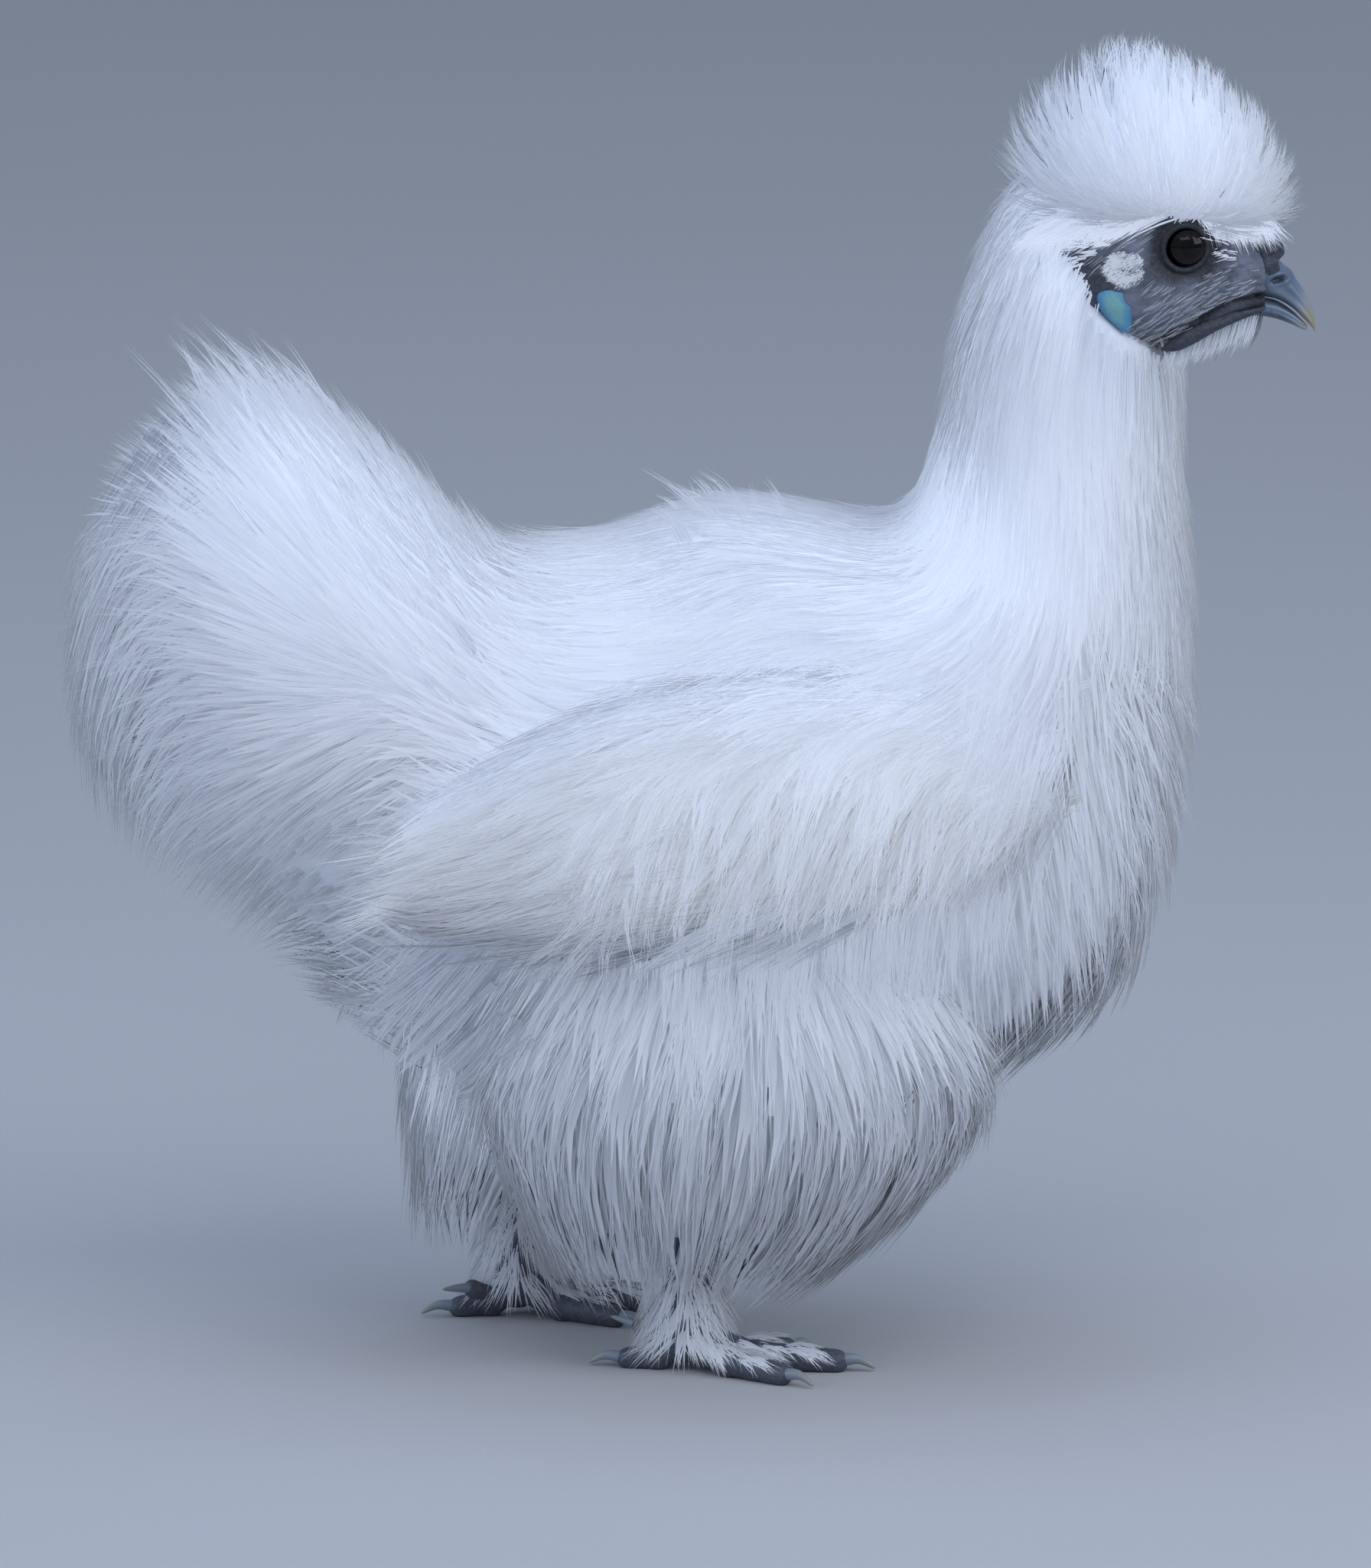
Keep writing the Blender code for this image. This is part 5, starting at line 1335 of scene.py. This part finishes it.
crest_silk = crest_tufts(1450, (0.94, 1.04))
sweep = side_sweep(280, (119, 12.5, 282.5), (-26, 3, -1.5), (-18, -8), 2.5, 5.5)
forehead = side_sweep(170, (123, 9.0, 283.5), (13, -5.5, -4.5), (8, -8), 4.5, 3.0)
brow = side_sweep(230, (121.5, 11.0, 284), (14.5, -6, -3.5), (5.5, -9.5), 2.0, 2.0)
layers = [
    down_blades(crest_tufts(1000, (0.87, 0.93), 22.0), 2.2),
    grow(crest_silk, 5, 0.42, 4, 2.2, 1.3, curl=1.4, wave=0.3, warm=0.06),
    grow(sweep, 6, 0.4, 4, 1.4, 1.2, curl=1.2, wave=0.25, warm=0.1),
    grow(forehead, 6, 0.36, 4, 1.6, 1.8, curl=1.4, wave=0.2),
    grow(brow, 5, 0.34, 4, 1.2, 1.1, curl=0.7, wave=0.2),
]
coat_piece("crest_plumage", layers)

# Small feathers of the head round the bare face: short at its edge, lying back from the bill and down to the
# throat, with a soft pale tuft over each ear and sparse pin feathers over the cheek.
def head_tufts(base, place, turn, length, down, rise, sink=1.0):
    """Tufts whose roots are on the head and that lie back, or down by a share, over its surface."""
    out = head.outward(np.clip(place, 0.3, 7.7), turn)
    course = unit(columns(-1, 0, -down))
    course = unit(course - np.sum(course * out, axis=1, keepdims=True) * out)
    tip = base + course * length[:, None] + out * (length * rise)[:, None]
    knee = base + course * (length * 0.45)[:, None] + out * (length * rise * 0.9)[:, None]
    return tuft_set(base - out * sink, knee, tip, out, place, turn)


place, turn = even_spots(head, (0.0, 7.7), (0, 2 * math.pi), 2300)
base = head.at(place, turn)
x, z = base[:, 0], base[:, 2]
bare = in_outline(x, z, BARE_FACE) & (np.abs(head.outward(place, turn)[:, 1]) > 0.25)
keep = ~bare & (z < 288) & ~((x > 134) & (z > 256))
place, turn, base, x, z = (values[keep] for values in (place, turn, base, x, z))
edge = gap_to_line(x, z, BARE_FACE + BARE_FACE[:1])
down = np.interp(x, (84, 100, 118, 136), (1.2, 1.6, 1.6, 0.5)) * ramp(z, 276, 258)
length = 5.0 + np.minimum(edge, 10.0) * 0.9
small_tufts = head_tufts(base, place, turn, length * rng.uniform(0.8, 1.2, len(length)), down, 0.22)

EAR = (106.4, 14.6, 268.6)
ears = []
for name, side in SIDES:
    spot = rng.uniform(-1, 1, (330, 2))
    spot = spot[np.hypot(*spot.T) < 1]
    base = columns(EAR[0] + 4.8 * spot[:, 0], side * EAR[1], EAR[2] + 4.0 * spot[:, 1])
    out = np.tile(unit((-0.2, side, 0.1)), (len(base), 1))
    knee = base + (-0.6, side * 1.9, 0.1)
    tip = base + (-2.2, side * 3.0, -0.8) + rng.normal(0, 0.5, base.shape)
    ears.append(tuft_set(base, knee, tip, out, 3.4 - spot[:, 0] * 0.5, side * (1.6 - 0.2 * spot[:, 1])))
ear_tufts = gathered(ears)

place, turn = even_spots(head, (1.5, 7.6), (0, 2 * math.pi), 2600)
base = head.at(place, turn)
x, z = base[:, 0], base[:, 2]
keep = in_outline(x, z, BARE_FACE) & (np.abs(head.outward(place, turn)[:, 1]) > 0.3)
keep &= np.hypot(x - LID_CENTRE[0], z - LID_CENTRE[2]) > 8.5
keep &= np.hypot(x - LOBE_TOP[0], z - LOBE_TOP[1]) > 8
keep &= (gap_to_line(x, z, GAPE_LINE) > 1.4) & (gap_to_line(x, z, [(p[0], p[2]) for p in JAW_FOLD]) > 2.5)
keep &= rng.uniform(0, 1, len(x)) < np.interp(z, (260, 270), (1.0, 0.25))
place, turn, base, x, z = (values[keep] for values in (place, turn, base, x, z))
down = 0.25 + 0.5 * ramp(x, 132, 108)
rise = 0.7 + 1.9 * ridge(np.hypot((x - 112) / 9, (z - 257.5) / 7), 1)
base = base + head.outward(place, turn) * rise[:, None]
pins = head_tufts(base, place, turn, rng.uniform(3.0, 5.6, len(x)), down, 0.08, 0.0)
count = 420
near = rng.uniform(-1.0, 1.0, count)
share = rng.uniform(0, 1.3, count)
base = columns(138.0 - 22 * share, near * (3.5 + 4.5 * share), 254.8 - 8.2 * share**1.3)
base = base + rng.normal(0, 0.6, base.shape)
out = unit(columns(0.3, near * 0.9, -0.4))
tip = base + np.array((-3.0, 0, -6.5)) * rng.uniform(0.8, 1.4, (count, 1)) + out * 1.0
chin = tuft_set(base, (base + tip) / 2 + out * 1.6, tip, out, 7.6 - 3 * share, math.pi - near)
layers = [
    grow(chin, 5, 0.36, 3, 1.0, 1.0, curl=0.6, wave=0.15),
    grow(small_tufts, 4, 0.36, 4, 0.9, 0.8, curl=0.5, wave=0.12),
    grow(ear_tufts, 6, 0.26, 3, 0.6, 0.6, curl=0.4, wave=0.1, warm=0.15),
    grow(pins, 2, 0.16, 3, 0.4, 0.3, curl=0.4, wave=0.08, shade=-4.0),
]
coat_piece("head_plumage", layers)

# Feathered feet: soft feathers stand out from the shanks and lie over the middle and outer toes.
for name, side in SIDES:
    x, y = FOOT_X[name], side * FOOT_Y
    count = 210
    height = rng.uniform(8, 36, count)
    turn = rng.uniform(0, 2 * math.pi, count)
    ray = columns(np.cos(turn), np.sin(turn), 0)
    base = np.array((x, y, 0.0)) + ray * 4.6 + UP * height[:, None]
    fall = rng.uniform(10, 17, count)
    tip = base + ray * (5 + (36 - height) * 0.3)[:, None] - UP * fall[:, None]
    tip[:, 2] = np.maximum(tip[:, 2], rng.uniform(1.5, 3.5, count))
    knee = base + ray * 5 - UP * 2
    groups = [tuft_set(base, knee, tip, ray, height / 36, turn)]
    for k, toe in enumerate(TOES[:3]):
        path, ahead = toe_path(name, side, toe)
        spine, _ = curve_through(path, 40)
        count = 60 if toe[0] != -30 else 24
        along = rng.integers(2, 30, count)
        spot = spine[along]
        across = np.cross(UP, ahead) * side
        aside = rng.uniform(-0.4, 1.0, count)[:, None]
        out = unit(UP * 0.8 + across * aside)
        base = spot + out * 3.0
        tip = base + ahead * rng.uniform(7, 12, count)[:, None] + across * aside * 8
        tip[:, 2] = rng.uniform(1.5, 4.0, count)
        knee = (base + tip) / 2 + UP * 2.5
        place, turn = 1.2 + 0.4 * k + along / 100, (1 + aside[:, 0]) * math.pi
        groups.append(tuft_set(base, knee, tip, out, place, turn))
    # The feet's strands are painted darker, a painted shade near the floor.
    coat_piece(f"foot_{name}_plumage", [grow(gathered(groups), 5, 0.45, 4, 1.2, 1.2, curl=1.0, shade=-1.5)])
